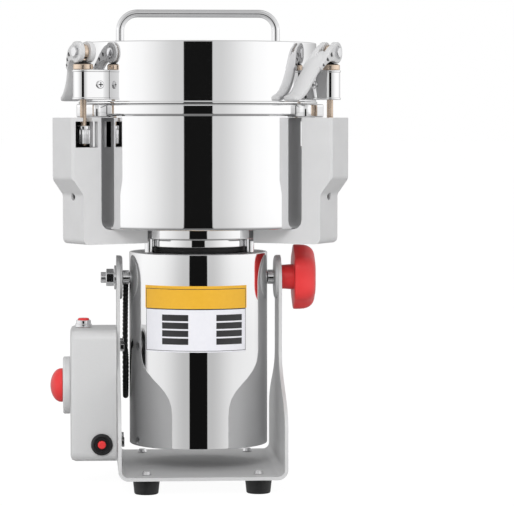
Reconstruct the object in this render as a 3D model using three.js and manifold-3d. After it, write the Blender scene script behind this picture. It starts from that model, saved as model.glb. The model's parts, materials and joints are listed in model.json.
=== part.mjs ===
// Electric spice grinder: a tilting grinding head on a sheet metal stand.
// The origin is the centre of the whole's outer box, on the plane that the feet stand on.
// Millimetres, +Z up, the front faces -Y, the control box is on the -X side.
import * as THREE from "three";
import { mergeVertices } from "three/addons/utils/BufferGeometryUtils.js";
import Module from "manifold-3d";

const wasm = await Module();
wasm.setup();

// Driving dimensions, in millimetres. Heights run from the base plate's underside, and places
// from the spindle's axis.
const gap = 0.3; // clearance between pieces that touch
const overrun = 2; // how far a cut runs past the face it opens
const finestEdge = 1.5; // small chamfer on turned pieces
const rimEdge = 1; // chamfer on thin rims, caps and washers
const weld = 0.0001; // corners closer than this are one corner

const stand = {
  width: 149,
  depth: 200,
  sheet: 3,
  bend: 9,
  pivotHeight: 172.8,
  neckWidth: 50,
  bossWidth: 38,
  bossHeight: 40,
  bossThick: 5.5,
  shoulderHeight: 45,
  neckHeight: 105,
  pivotHole: 5.2,
};
const foot = { height: 13.6, topRadius: 12, baseRadius: 10.8, insetX: 25, insetY: 20 };
const footScrew = { radius: 2.5, headRadius: 4.6, headHeight: 3 };

const box = {
  low: 9,
  high: 127.5,
  thick: 41.5,
  depth: 72,
  corner: 9,
  wall: 3,
  screwRadius: 2.4,
  screwInset: 16,
  screwReach: 13,
  nutRadius: 4.4,
  nutHeight: 3.4,
  postRadius: 5.4,
};
const dial = { height: 75, radius: 26, thick: 6.4, knobRadius: 15.3, knobDome: 11.2, stemRadius: 5.1 };
const powerButton = { offset: 12, ringRadius: 7.6, ringHeight: 6.4, capRadius: 5.2, capRise: 1.8 };
const resetButton = { height: 24.9, inset: 13.5, bezelRadius: 9.9, bezelThick: 3, radius: 3.7, rise: 2.2 };

const housing = { radius: 62.7, wall: 2, low: 22.4, high: 196.4, edge: 3 };
const motorCan = { radius: 56, shaftDepth: 46.4 };
const endPlate = { thick: 6, recess: 1 };
const bearing = { radius: 47.5, seatRadius: 27, seatHeight: 5, thick: 7.7, boreRadius: 8.6 };
const hub = { thick: 9.5, boreRadius: 8.6, postRadius: 4.2 };

const arm = {
  count: 3,
  firstAngle: 210,
  width: 37,
  inner: 112.5,
  outerHigh: 141.8,
  outerLow: 130.5,
  legInner: 65,
  legThick: 12.8,
  jogDrop: 53.6,
  jogHeight: 14,
  fillet: 10,
  edge: 3,
  sideEdge: 2,
  wall: 3.4,
};
const armWindow = { inner: 116, clear: 2, back: 15, slot: 9 };
const armScrewHole = { radius: 3.4, depth: 5, drop: 69.6 };

const bowl = { radius: 106, wall: 2.5, floor: 2.5, corner: 15, height: 110.4, rimRadius: 108, rimDepth: 9.2 };
const rimTab = { width: 36, thick: 11.7, boltClear: 4.7 };
const gasket = { thick: 1.5, width: 3 };
const lid = { radius: 107, wall: 2, height: 54.8, shoulder: 5, bead: 1 };
const handle = { width: 139, rise: 26.6, rod: 4, bend: 17 };

const clamp = {
  boltPlace: 126.4,
  boltOffset: 11,
  boltRadius: 3,
  boltTail: 1,
  eyeRadius: 6.8,
  eyeThick: 5.4,
  pinRadius: 3.2,
  pinHeadRadius: 4.6,
  pinHeadThick: 1.8,
};
const lug = { radius: 9, rise: 3.5, height: 26.2, flange: 0.6, flangeThick: 2, bore: 3.8 };
const washer = { radius: 8.8, thick: 5.5, bore: 3.4 };
const nut = { radius: 6.6, flute: 0.5, flutes: 12, height: 16.1, clear: 3.6, bore: 3.3 };
const lever = {
  cheekThick: 5,
  cheekRadius: 9.4,
  slotClear: 3,
  sweep: 26,
  tipPlace: 119.5,
  tipDrop: 42,
  tipWidth: 22,
  thick: 4.6,
  ridge: 1.8,
};

const pivot = {
  bossRadius: 6.6,
  boltRadius: 4.9,
  nutRadius: 8,
  nutHeight: 7,
  washerRadius: 11,
  washerThick: 1.6,
  boltTail: 5,
  leadAngle: -50,
};
const lock = { hubRadius: 11.6, hubLength: 11.5, radius: 29.5, lobe: 2.2, lobes: 6, thick: 19.4, edge: 4 };
const lead = { radius: 2.6, clear: 0.5, tail: 6, grommetRadius: 4.2, exitHeight: 112 };

const shaft = { radius: 8, collarRadius: 12, floorClear: 1.3, shoulderThick: 7.7, nutRadius: 11, nutHeight: 8 };
const blade = { reach: 92, width: 30, thick: 2.4, spacing: 12, sweepDegrees: 34 };
const topBlade = { reach: 34, width: 13, rise: 9, collar: 8, bars: 3 };

// Heights that follow from the sizes above, from the motor up.
const shaftLow = housing.high - motorCan.shaftDepth;
const bearingLow = housing.high + bearing.seatHeight;
const bearingHigh = bearingLow + bearing.thick;
const hubLow = bearingHigh + gap;
const hubHigh = hubLow + hub.thick;
const bowlLow = hubHigh + gap;
const rimHigh = bowlLow + bowl.height;
const rimLow = rimHigh - bowl.rimDepth;
const tabLow = rimHigh - rimTab.thick;
const armTop = tabLow - gap;
const armLow = hubHigh - arm.legThick;
const jogHigh = armTop - arm.jogDrop;
const jogLow = jogHigh - arm.jogHeight;
const nutHigh = armTop - arm.wall - nut.clear;
const nutLow = nutHigh - nut.height;
const boltLow = nutLow - clamp.boltTail;
const lidLow = rimHigh + gap;
const lidHigh = lidLow + lid.height;
const lugLow = lidLow + lug.rise;
const lugHigh = lugLow + lug.height;
const pinHeight = lugHigh + washer.thick + lever.cheekRadius + 2 * gap;
const shoulderLow = bowlLow + bowl.floor + shaft.floorClear;
const bladeLow = shoulderLow + shaft.shoulderThick + gap;
const bladeHigh = bladeLow + blade.spacing;
const topBladeLow = bladeHigh + topBlade.rise;
const topNutLow = topBladeLow + topBlade.collar;

const finish = {
  polished: material(0xd9dbde, 0.08, 1),
  cast: material(0xc9cacb, 0.45, 0.6),
  painted: material(0xc4c5c6, 0.4, 0.3),
  chrome: material(0xe3e4e6, 0.12, 1),
  brass: material(0xc9a27c, 0.3, 1),
  rubber: material(0x1c1c1d, 0.8, 0),
  red: material(0xd8242c, 0.35, 0),
  black: material(0x18181a, 0.4, 0),
  steel: material(0x9fa2a5, 0.35, 1),
};

const grinder = new THREE.Group();

function material(color, roughness, metalness) {
  return new THREE.MeshStandardMaterial({ color, roughness, metalness });
}

function radians(degrees) {
  return THREE.MathUtils.degToRad(degrees);
}

// Solids: a closed geometry becomes a manifold, and a manifold becomes a mesh.
function solid(geometry) {
  const bare = geometry.clone();
  bare.deleteAttribute("normal");
  bare.deleteAttribute("uv");
  const merged = mergeVertices(bare, weld);
  return new wasm.Manifold(
    new wasm.Mesh({
      numProp: 3,
      vertProperties: new Float32Array(merged.attributes.position.array),
      triVerts: new Uint32Array(merged.index.array),
    }),
  );
}

function addPiece(name, shape, look) {
  const found = shape.getMesh();
  const geometry = new THREE.BufferGeometry();
  geometry.setAttribute("position", new THREE.BufferAttribute(found.vertProperties, 3));
  geometry.setIndex(new THREE.BufferAttribute(found.triVerts, 1));
  geometry.computeVertexNormals();
  const mesh = new THREE.Mesh(geometry, look);
  mesh.name = name;
  grinder.add(mesh);
}

function block(low, high) {
  const size = high.map((value, i) => value - low[i]);
  const centre = high.map((value, i) => (value + low[i]) / 2);
  return solid(new THREE.BoxGeometry(...size).translate(...centre));
}

// A round bar along Z between two heights.
function rod(radius, low, high, sides = 20) {
  const bar = new THREE.CylinderGeometry(radius, radius, high - low, sides);
  return solid(bar.rotateX(Math.PI / 2).translate(0, 0, (high + low) / 2));
}

// A round bar along X between two places.
function rodX(radius, from, to, sides = 20) {
  const bar = new THREE.CylinderGeometry(radius, radius, to - from, sides);
  return solid(bar.rotateZ(Math.PI / 2).translate((from + to) / 2, 0, 0));
}

// A round bar along Y between two places.
function rodY(radius, from, to, sides = 20) {
  const bar = new THREE.CylinderGeometry(radius, radius, to - from, sides);
  return solid(bar.translate(0, (from + to) / 2, 0));
}

// A body turned about Z from [radius, height] points that run anticlockwise, closed.
function turned(points, sides = 40) {
  const outline = points.map(([r, z]) => new THREE.Vector2(r, z));
  outline.push(outline[0].clone());
  return solid(new THREE.LatheGeometry(outline, sides).rotateX(Math.PI / 2));
}

function outlineShape(points) {
  return new THREE.Shape(points.map(([x, y]) => new THREE.Vector2(x, y)));
}

// A flat outline in X and Y raised between two heights.
function raised(shape, low, high, curveSegments = 4) {
  const geometry = new THREE.ExtrudeGeometry(shape, {
    depth: high - low,
    bevelEnabled: false,
    curveSegments,
  });
  return solid(geometry.translate(0, 0, low));
}

// A flat outline raised with a rounded edge at both ends.
function raisedSoft(shape, low, high, edge, curveSegments = 3) {
  const geometry = new THREE.ExtrudeGeometry(shape, {
    depth: high - low - 2 * edge,
    bevelEnabled: true,
    bevelThickness: edge,
    bevelSize: edge,
    bevelOffset: -edge,
    bevelSegments: 2,
    curveSegments,
  });
  return solid(geometry.translate(0, 0, low + edge));
}

// A rectangle with round corners, centred on the spindle's axis.
function roundedRectangle(width, height, corner) {
  const x = width / 2;
  const y = height / 2;
  const shape = new THREE.Shape();
  shape.moveTo(-x + corner, -y);
  shape.lineTo(x - corner, -y);
  shape.absarc(x - corner, -y + corner, corner, -Math.PI / 2, 0);
  shape.lineTo(x, y - corner);
  shape.absarc(x - corner, y - corner, corner, 0, Math.PI / 2);
  shape.lineTo(-x + corner, y);
  shape.absarc(-x + corner, y - corner, corner, Math.PI / 2, Math.PI);
  shape.lineTo(-x, -y + corner);
  shape.absarc(-x + corner, -y + corner, corner, Math.PI, 1.5 * Math.PI);
  return shape;
}

// Points of an arc in radius and height, from one angle to another.
function arcPoints(centreR, centreZ, radius, from, to, steps) {
  const points = [];
  for (let i = 0; i <= steps; i++) {
    const turn = radians(from + ((to - from) * i) / steps);
    points.push([centreR + radius * Math.cos(turn), centreZ + radius * Math.sin(turn)]);
  }
  return points;
}

// A round outline whose edge dips inwards by a depth, a number of times round.
function waveShape(radius, depth, waves, stepsEach) {
  const steps = waves * stepsEach;
  const points = [];
  for (let i = 0; i < steps; i++) {
    const turn = (2 * Math.PI * i) / steps;
    const reach = radius - (depth * (1 - Math.cos(waves * turn))) / 2;
    points.push([reach * Math.cos(turn), reach * Math.sin(turn)]);
  }
  return outlineShape(points);
}

// Stands an outline drawn in Y and Z up, so that it is raised along X.
function upAlongX(shape) {
  return shape.rotate([90, 0, 90]);
}

// Stands an outline drawn in X and Z up, so that it is raised along Y, from front to back.
function upAlongY(shape) {
  return shape.rotate([90, 0, 0]).mirror([0, 1, 0]);
}

// Stand: one bent sheet with two tapered uprights, and a raised oval pad at each pivot.
function sheetProfile() {
  const half = stand.width / 2;
  const top = stand.pivotHeight + stand.bossHeight / 2;
  const inner = stand.bend - stand.sheet;
  const shape = new THREE.Shape();
  shape.moveTo(-half, top);
  shape.lineTo(-half, stand.bend);
  shape.absarc(-half + stand.bend, stand.bend, stand.bend, Math.PI, 1.5 * Math.PI);
  shape.lineTo(half - stand.bend, 0);
  shape.absarc(half - stand.bend, stand.bend, stand.bend, -Math.PI / 2, 0);
  shape.lineTo(half, top);
  shape.lineTo(half - stand.sheet, top);
  shape.lineTo(half - stand.sheet, stand.bend);
  shape.absarc(half - stand.bend, stand.bend, inner, 0, -Math.PI / 2, true);
  shape.lineTo(-half + stand.bend, stand.sheet);
  shape.absarc(-half + stand.bend, stand.bend, inner, -Math.PI / 2, -Math.PI, true);
  shape.lineTo(-half + stand.sheet, top);
  return shape;
}

// Side view of the uprights: wide at the base, one long curve in to the neck, a round crown.
function uprightOutline() {
  const curveShare = 0.42;
  const wide = stand.depth / 2;
  const narrow = stand.neckWidth / 2;
  const crown = stand.pivotHeight + stand.bossHeight / 2 - narrow;
  const pull = (stand.neckHeight - stand.shoulderHeight) * curveShare;
  const leave = stand.shoulderHeight + pull;
  const arrive = stand.neckHeight - pull;
  const shape = new THREE.Shape();
  shape.moveTo(-wide, -overrun);
  shape.lineTo(wide, -overrun);
  shape.lineTo(wide, stand.shoulderHeight);
  shape.bezierCurveTo(wide, leave, narrow, arrive, narrow, stand.neckHeight);
  shape.lineTo(narrow, crown);
  shape.absarc(0, crown, narrow, 0, Math.PI);
  shape.lineTo(-narrow, stand.neckHeight);
  shape.bezierCurveTo(-narrow, arrive, -wide, leave, -wide, stand.shoulderHeight);
  return shape;
}

function pivotPad(side) {
  const edgeShare = 0.4;
  const corner = Math.min(stand.bossWidth, stand.bossHeight) / 2;
  const oval = roundedRectangle(stand.bossWidth, stand.bossHeight, corner);
  const pad = upAlongX(raisedSoft(oval, 0, stand.bossThick, stand.bossThick * edgeShare));
  const inner = stand.width / 2 - stand.bossThick;
  const start = side > 0 ? inner : -stand.width / 2;
  return pad.translate([start, 0, stand.pivotHeight]);
}

function addStand() {
  const half = stand.width / 2;
  const sheet = upAlongY(raised(sheetProfile(), -stand.depth / 2, stand.depth / 2));
  const limit = upAlongX(raised(uprightOutline(), -half - overrun, half + overrun, 8));
  let frame = sheet.intersect(limit).add(pivotPad(-1)).add(pivotPad(1));
  const hole = rodX(stand.pivotHole, -half - overrun, half + overrun);
  frame = frame.subtract(hole.translate([0, 0, stand.pivotHeight]));
  const wallOut = -half - overrun;
  const wallIn = -half + stand.sheet + overrun;
  for (const [y, z] of boxScrewPlaces()) {
    const screwHole = rodX(box.screwRadius + gap, wallOut, wallIn, 10);
    frame = frame.subtract(screwHole.translate([0, y, z]));
  }
  const leadHole = rodX(lead.grommetRadius, wallOut, wallIn, 16);
  frame = frame.subtract(leadHole.translate([0, 0, lead.exitHeight]));
  for (const [x, y] of footPlaces()) {
    const footHole = rod(footScrew.radius + gap, -overrun, stand.sheet + overrun, 10);
    frame = frame.subtract(footHole.translate([x, y, 0]));
  }
  addPiece("stand_frame", frame, finish.painted);
}

function footPlaces() {
  const x = stand.width / 2 - foot.insetX;
  const y = stand.depth / 2 - foot.insetY;
  return [[-x, -y], [x, -y], [-x, y], [x, y]];
}

function addFeet() {
  const names = ["front_left", "front_right", "back_left", "back_right"];
  const low = -foot.height;
  const middle = low / 2;
  const rubber = turned([
    [0, low],
    [foot.baseRadius - finestEdge, low],
    [foot.baseRadius, low + finestEdge],
    [foot.topRadius, -gap],
    [0, -gap],
  ], 16).subtract(rod(footScrew.radius + gap, middle, overrun, 10));
  const headLow = stand.sheet + gap;
  const headHigh = headLow + footScrew.headHeight;
  const head = turned([
    [0, headLow],
    [footScrew.headRadius, headLow],
    [footScrew.headRadius - finestEdge, headHigh],
    [0, headHigh],
  ], 10);
  const screw = rod(footScrew.radius, middle + gap, headLow + finestEdge, 10).add(head);
  footPlaces().forEach(([x, y], i) => {
    addPiece("foot_" + names[i], rubber.translate([x, y, 0]), finish.rubber);
    addPiece("foot_screw_" + names[i], screw.translate([x, y, 0]), finish.chrome);
  });
}

// Control box on the left upright, with its dial, buttons and screws.
function boxScrewPlaces() {
  const y = box.depth / 2 - box.screwInset;
  const low = box.low + box.screwInset;
  const high = box.high - box.screwInset;
  return [[-y, low], [y, low], [-y, high], [y, high]];
}

function boxInner() {
  return -stand.width / 2 - gap;
}

function boxOuter() {
  return boxInner() - box.thick;
}

function addControlBox() {
  const inner = boxInner();
  const outer = boxOuter();
  const middle = (box.low + box.high) / 2;
  const tall = box.high - box.low;
  const face = roundedRectangle(box.depth, tall, box.corner);
  const skin = upAlongX(raisedSoft(face, 0, box.thick + box.corner, box.corner / 2));
  const cavity = roundedRectangle(box.depth - 2 * box.wall, tall - 2 * box.wall, box.corner - box.wall);
  const hollow = upAlongX(raised(cavity, box.wall, box.thick + box.corner + overrun));
  let shell = skin.subtract(hollow).translate([outer, 0, middle]);
  shell = shell.subtract(block([inner, -box.depth, 0], [0, box.depth, box.high + overrun]));
  for (const [y, z] of boxScrewPlaces()) {
    const post = rodX(box.postRadius, outer + box.wall / 2, inner, 12);
    const bore = rodX(box.screwRadius + gap, inner - box.screwReach - overrun, inner + overrun, 8);
    shell = shell.add(post.translate([0, y, z])).subtract(bore.translate([0, y, z]));
  }
  const dialHole = rodX(dial.stemRadius + gap, outer - overrun, outer + box.wall + overrun);
  shell = shell.subtract(dialHole.translate([0, 0, dial.height]));
  const buttonX = outer + powerButton.offset;
  const buttonHole = rod(powerButton.capRadius + gap, box.high - box.wall - overrun, box.high + overrun);
  shell = shell.subtract(buttonHole.translate([buttonX, 0, 0]));
  const [resetX, resetY] = resetPlace();
  const resetHole = rodY(resetButton.radius + gap, resetY - overrun, resetY + box.wall + overrun);
  shell = shell.subtract(resetHole.translate([resetX, 0, resetButton.height]));
  addPiece("control_box", shell, finish.painted);
}

function addBoxScrews() {
  const inner = -stand.width / 2 + stand.sheet + gap;
  const tip = -stand.width / 2 - box.screwReach;
  const shank = rodX(box.screwRadius, tip, inner + box.nutHeight / 2, 8);
  const screw = shank.add(rodX(box.nutRadius, inner, inner + box.nutHeight, 6));
  boxScrewPlaces().forEach(([y, z], i) => {
    addPiece("box_screw_" + (i + 1), screw.translate([0, y, z]), finish.chrome);
  });
}

function resetPlace() {
  return [boxInner() - resetButton.inset, -box.depth / 2];
}

function addDial() {
  const back = boxOuter() - gap;
  const plate = turned([
    [0, 0],
    [dial.radius, 0],
    [dial.radius, dial.thick - finestEdge],
    [dial.radius - finestEdge, dial.thick],
    [0, dial.thick],
  ], 28).subtract(rod(dial.stemRadius + gap, -overrun, dial.thick + overrun));
  addPiece("timer_plate", plate.rotate([0, -90, 0]).translate([back, 0, dial.height]), finish.cast);
  const knob = turned(domePoints(dial.knobRadius, dial.knobDome), 24);
  const stem = rod(dial.stemRadius, -dial.thick - box.wall - overrun, finestEdge);
  const face = back - dial.thick - gap;
  addPiece("timer_knob", knob.add(stem).rotate([0, -90, 0]).translate([face, 0, dial.height]), finish.red);
}

// A low dome on a short straight skirt, as [radius, height] points.
function domePoints(radius, height) {
  const steps = 5;
  const skirtShare = 0.25;
  const skirt = height * skirtShare;
  const points = [[0, 0], [radius, 0]];
  for (let i = 0; i < steps; i++) {
    const turn = ((Math.PI / 2) * i) / steps;
    points.push([radius * Math.cos(turn), skirt + (height - skirt) * Math.sin(turn)]);
  }
  points.push([0, height]);
  return points;
}

function addPowerButton() {
  const x = boxOuter() + powerButton.offset;
  const low = box.high + gap;
  const high = low + powerButton.ringHeight;
  const ring = turned([
    [powerButton.capRadius + gap, low],
    [powerButton.ringRadius, low],
    [powerButton.ringRadius, high - finestEdge],
    [powerButton.ringRadius - finestEdge, high],
    [powerButton.capRadius + gap, high],
  ], 18);
  addPiece("power_button_ring", ring.translate([x, 0, 0]), finish.chrome);
  const capTop = high + powerButton.capRise;
  const cap = turned([
    [0, box.high - box.wall],
    [powerButton.capRadius, box.high - box.wall],
    [powerButton.capRadius, capTop - rimEdge],
    [powerButton.capRadius - rimEdge, capTop],
    [0, capTop],
  ], 20);
  addPiece("power_button", cap.translate([x, 0, 0]), finish.red);
}

function addResetButton() {
  const [x, face] = resetPlace();
  const place = [x, face - gap, resetButton.height];
  const outer = resetButton.bezelRadius;
  const bezel = turned([
    [resetButton.radius + gap, 0],
    [outer, 0],
    [outer, resetButton.bezelThick - finestEdge],
    [outer - finestEdge, resetButton.bezelThick],
    [resetButton.radius + gap, resetButton.bezelThick],
  ], 18).rotate([90, 0, 0]);
  addPiece("reset_bezel", bezel.translate(place), finish.black);
  const tip = resetButton.bezelThick + resetButton.rise;
  const button = turned([
    [0, -box.wall],
    [resetButton.radius, -box.wall],
    [resetButton.radius, tip - rimEdge],
    [resetButton.radius - rimEdge, tip],
    [0, tip],
  ], 16).rotate([90, 0, 0]);
  addPiece("reset_button", button.translate(place), finish.red);
}

// Motor in its polished housing. Its bottom cap lies a little inside the housing's lower edge.
function addMotor() {
  const { radius, wall, low, high, edge } = housing;
  const bore = radius - wall;
  const shell = turned([
    [bore, low],
    [radius - edge, low],
    [radius, low + edge],
    [radius, high - rimEdge],
    [radius - rimEdge, high],
    [bore, high],
  ], 44);
  const sideHoles = rodX(pivot.boltRadius + gap, -radius - overrun, radius + overrun);
  addPiece("motor_housing", shell.subtract(sideHoles.translate([0, 0, stand.pivotHeight])), finish.polished);
  const plateRadius = bore - gap;
  const capLow = low + endPlate.recess;
  const cap = rod(plateRadius, capLow, capLow + endPlate.thick, 44);
  const can = rod(motorCan.radius, capLow + endPlate.thick / 2, high - endPlate.thick - gap, 44);
  const shaftBore = rod(shaft.radius + gap, shaftLow - gap, high);
  addPiece("motor", can.add(cap).subtract(shaftBore), finish.steel);
  const top = rod(plateRadius, high - endPlate.thick, high - gap, 44);
  addPiece("motor_top_plate", top.subtract(rod(bearing.boreRadius, low, high + overrun)), finish.cast);
}

// Bearing ring between the motor and the hub plate.
function addBearing() {
  addPiece("bearing_ring", turned([
    [bearing.boreRadius, housing.high],
    [bearing.seatRadius, housing.high],
    [bearing.seatRadius, bearingLow],
    [bearing.radius, bearingLow],
    [bearing.radius, bearingHigh - finestEdge],
    [bearing.radius - finestEdge, bearingHigh],
    [bearing.boreRadius, bearingHigh],
  ], 36), finish.polished);
}

// Hub plate under the bowl, between the arms' feet, on three posts that stand on the motor.
function addHubPlate() {
  const radius = arm.legInner - gap;
  const postPlace = bearing.radius + gap + hub.postRadius;
  const post = rod(hub.postRadius, housing.high, hubLow + finestEdge, 16).translate([postPlace, 0, 0]);
  let plate = turned([
    [hub.boreRadius, hubLow],
    [radius, hubLow],
    [radius, hubHigh],
    [hub.boreRadius, hubHigh],
  ], 40);
  for (let i = 0; i < arm.count; i++) {
    plate = plate.add(aroundRing(post, i));
  }
  addPiece("hub_plate", plate, finish.polished);
}

// Arms: three cast brackets in a ring. Each is an upright L with a stepped back and a nut pocket
// near its top that opens sideways and inwards.
function armProfile() {
  const { inner, outerHigh, outerLow, legInner, fillet, edge } = arm;
  const shape = new THREE.Shape();
  shape.moveTo(legInner, armLow);
  shape.lineTo(outerLow - 2 * edge, armLow);
  shape.quadraticCurveTo(outerLow, armLow, outerLow, armLow + 2 * edge);
  shape.lineTo(outerLow, jogLow - edge);
  shape.quadraticCurveTo(outerLow, jogLow, outerLow + edge / 2, jogLow + edge / 2);
  shape.lineTo(outerHigh - edge / 2, jogHigh - edge / 2);
  shape.quadraticCurveTo(outerHigh, jogHigh, outerHigh, jogHigh + edge);
  shape.lineTo(outerHigh, armTop);
  shape.lineTo(inner, armTop);
  shape.lineTo(inner, hubHigh + fillet);
  shape.quadraticCurveTo(inner, hubHigh, inner - fillet, hubHigh);
  shape.lineTo(legInner, hubHigh);
  return shape;
}

// Plan of an arm, with chamfers up its two outer edges.
function armSection() {
  const half = arm.width / 2;
  const bevel = arm.sideEdge;
  return outlineShape([
    [arm.legInner - overrun, -half],
    [arm.outerHigh - bevel, -half],
    [arm.outerHigh, -half + bevel],
    [arm.outerHigh, half - bevel],
    [arm.outerHigh - bevel, half],
    [arm.legInner - overrun, half],
  ]);
}

function armSolid() {
  const half = arm.width / 2;
  let body = upAlongY(raised(armProfile(), -half, half, 6));
  body = body.intersect(raised(armSection(), armLow - overrun, armTop + overrun));
  const pocketTop = armTop - arm.wall;
  const pocketLow = boltLow - armWindow.clear;
  const pocketOuter = arm.outerHigh - arm.wall;
  const pocket = block([armWindow.inner, -armWindow.back, pocketLow], [pocketOuter, half + overrun, pocketTop]);
  const inward = block(
    [arm.inner - overrun, clamp.boltOffset - nut.radius, pocketLow],
    [armWindow.inner + overrun, clamp.boltOffset + nut.radius - arm.wall, pocketTop],
  );
  const slotHalf = armWindow.slot / 2;
  const slot = block(
    [clamp.boltPlace - slotHalf, clamp.boltOffset - slotHalf, pocketTop - overrun],
    [clamp.boltPlace + slotHalf, half + overrun, armTop + overrun],
  );
  const hole = rodX(armScrewHole.radius, arm.outerLow - armScrewHole.depth, arm.outerHigh + overrun, 16);
  return body
    .subtract(pocket)
    .subtract(inward)
    .subtract(slot)
    .subtract(hole.translate([0, 0, armTop - armScrewHole.drop]));
}

function aroundRing(shape, index) {
  return shape.rotate([0, 0, arm.firstAngle + (index * 360) / arm.count]);
}

const ringNames = ["left", "right", "back"];

function addArms() {
  const one = armSolid();
  ringNames.forEach((name, i) => addPiece("arm_" + name, aroundRing(one, i), finish.cast));
}

// Bowl with a rolled rim and three tabs that rest on the arms.
function addBowl() {
  const { radius, wall, floor, corner, rimRadius } = bowl;
  const bore = radius - wall;
  const floorTop = bowlLow + floor;
  const outside = arcPoints(radius - corner, bowlLow + corner, corner, -90, 0, 4);
  const inside = arcPoints(radius - corner, bowlLow + corner, corner - wall, 0, -90, 4);
  let whole = turned([
    [hub.boreRadius, bowlLow],
    ...outside,
    [radius, rimLow - rimEdge],
    [rimRadius - rimEdge, rimLow],
    [rimRadius, rimLow + 2 * rimEdge],
    [rimRadius, rimHigh - 2 * rimEdge],
    [rimRadius - rimEdge, rimHigh],
    [bore, rimHigh],
    ...inside.filter(([, z]) => z > floorTop),
    [radius - corner, floorTop],
    [hub.boreRadius, floorTop],
  ], 44);
  const reach = clamp.boltPlace - clamp.boltRadius - rimTab.boltClear;
  const half = rimTab.width / 2;
  const clear = rod(bore, bowlLow, rimHigh + overrun, 44);
  const tab = block([bore, -half, tabLow], [reach, half, rimHigh]);
  for (let i = 0; i < arm.count; i++) {
    whole = whole.add(aroundRing(tab, i).subtract(clear));
  }
  addPiece("bowl", whole, finish.polished);
}

// Seal on the rim, inside the lid's skirt.
function addGasket() {
  const low = rimHigh + gap;
  const outer = lid.radius - lid.wall - gap;
  addPiece("lid_gasket", turned([
    [outer - gasket.width, low],
    [outer, low],
    [outer, low + gasket.thick],
    [outer - gasket.width, low + gasket.thick],
  ], 44), finish.rubber);
}

// Lid: a deep drawn cap with a round shoulder and a beaded lower edge, and its rod handle.
function addLid() {
  const { radius, wall, shoulder, bead } = lid;
  const outside = arcPoints(radius - shoulder, lidHigh - shoulder, shoulder, 0, 90, 4);
  const inside = arcPoints(radius - shoulder, lidHigh - shoulder, shoulder - wall, 90, 0, 4);
  addPiece("lid", turned([
    [radius - wall, lidLow],
    [radius + bead, lidLow],
    [radius + bead, lidLow + bead],
    [radius, lidLow + 2 * bead],
    ...outside,
    [0, lidHigh],
    [0, lidHigh - wall],
    ...inside,
  ], 44), finish.polished);
}

function handlePath() {
  const half = handle.width / 2;
  const base = lidHigh + gap;
  const axis = lidHigh + handle.rise;
  const start = new THREE.Vector3(-half, 0, base);
  const bendIn = new THREE.Vector3(-half, 0, axis - handle.bend);
  const bendOut = new THREE.Vector3(-half + handle.bend, 0, axis);
  const path = new THREE.CurvePath();
  const right = (point) => new THREE.Vector3(-point.x, 0, point.z);
  const corner = new THREE.Vector3(-half, 0, axis);
  path.add(new THREE.LineCurve3(start, bendIn));
  path.add(new THREE.QuadraticBezierCurve3(bendIn, corner, bendOut));
  path.add(new THREE.LineCurve3(bendOut, right(bendOut)));
  path.add(new THREE.QuadraticBezierCurve3(right(bendOut), right(corner), right(bendIn)));
  path.add(new THREE.LineCurve3(right(bendIn), right(start)));
  return path;
}

function addHandle() {
  const round = new THREE.Shape().absarc(0, 0, handle.rod, 0, 2 * Math.PI);
  const bar = new THREE.ExtrudeGeometry(round, { steps: 30, extrudePath: handlePath(), curveSegments: 5 });
  addPiece("lid_handle", solid(bar), finish.chrome);
}

// Clamps: a lug on the lid, a threaded bolt with an eye, a washer, a fluted nut and a cam lever.
function lugOutline(grow) {
  const half = lug.radius + grow;
  const near = lid.radius - lid.wall;
  const shape = new THREE.Shape();
  shape.moveTo(near, clamp.boltOffset - half);
  shape.lineTo(clamp.boltPlace, clamp.boltOffset - half);
  shape.absarc(clamp.boltPlace, clamp.boltOffset, half, -Math.PI / 2, Math.PI / 2);
  shape.lineTo(near, clamp.boltOffset + half);
  return shape;
}

function lugSolid() {
  const middle = raised(lugOutline(0), lugLow, lugHigh, 6);
  const bottom = raised(lugOutline(lug.flange), lugLow, lugLow + lug.flangeThick, 6);
  const top = raised(lugOutline(lug.flange), lugHigh - lug.flangeThick, lugHigh, 6);
  const seat = rod(lid.radius + gap, lugLow - overrun, lugHigh + overrun, 44);
  const bore = rod(lug.bore, lugLow - overrun, lugHigh + overrun, 14);
  return middle.add(bottom).add(top)
    .subtract(seat)
    .subtract(bore.translate([clamp.boltPlace, clamp.boltOffset, 0]));
}

function boltSolid() {
  const half = clamp.eyeThick / 2;
  const shank = rod(clamp.boltRadius, boltLow, pinHeight, 12);
  const eye = rodX(clamp.eyeRadius, -half, half, 18).translate([0, 0, pinHeight]);
  const hole = rodX(clamp.pinRadius + gap, -half - overrun, half + overrun, 14);
  const bolt = shank.add(eye).subtract(hole.translate([0, 0, pinHeight]));
  return bolt.translate([clamp.boltPlace, clamp.boltOffset, 0]);
}

function washerSolid() {
  const low = lugHigh + gap;
  const high = low + washer.thick;
  const ring = turned([
    [washer.bore, low],
    [washer.radius, low],
    [washer.radius, high - rimEdge],
    [washer.radius - rimEdge, high],
    [washer.bore, high],
  ], 16);
  return ring.translate([clamp.boltPlace, clamp.boltOffset, 0]);
}

function nutSolid() {
  const body = raised(waveShape(nut.radius, nut.flute, nut.flutes, 2), nutLow, nutHigh);
  const bored = body.subtract(rod(nut.bore, nutLow - overrun, nutHigh + overrun, 12));
  return bored.translate([clamp.boltPlace, clamp.boltOffset, 0]);
}

// A place along the lever, which follows the lid round and drops in one long S.
function leverRing(share) {
  const inwardShare = 0.45;
  const turn = Math.atan2(clamp.boltOffset, clamp.boltPlace) - radians(lever.sweep) * share;
  const drop = lever.tipDrop * THREE.MathUtils.smootherstep(share, 0, 1);
  const inward = (clamp.boltPlace - lever.tipPlace) * Math.min(1, share / inwardShare);
  const place = clamp.boltPlace - inward;
  return new THREE.Vector3(place * Math.cos(turn), place * Math.sin(turn), pinHeight - drop);
}

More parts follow.
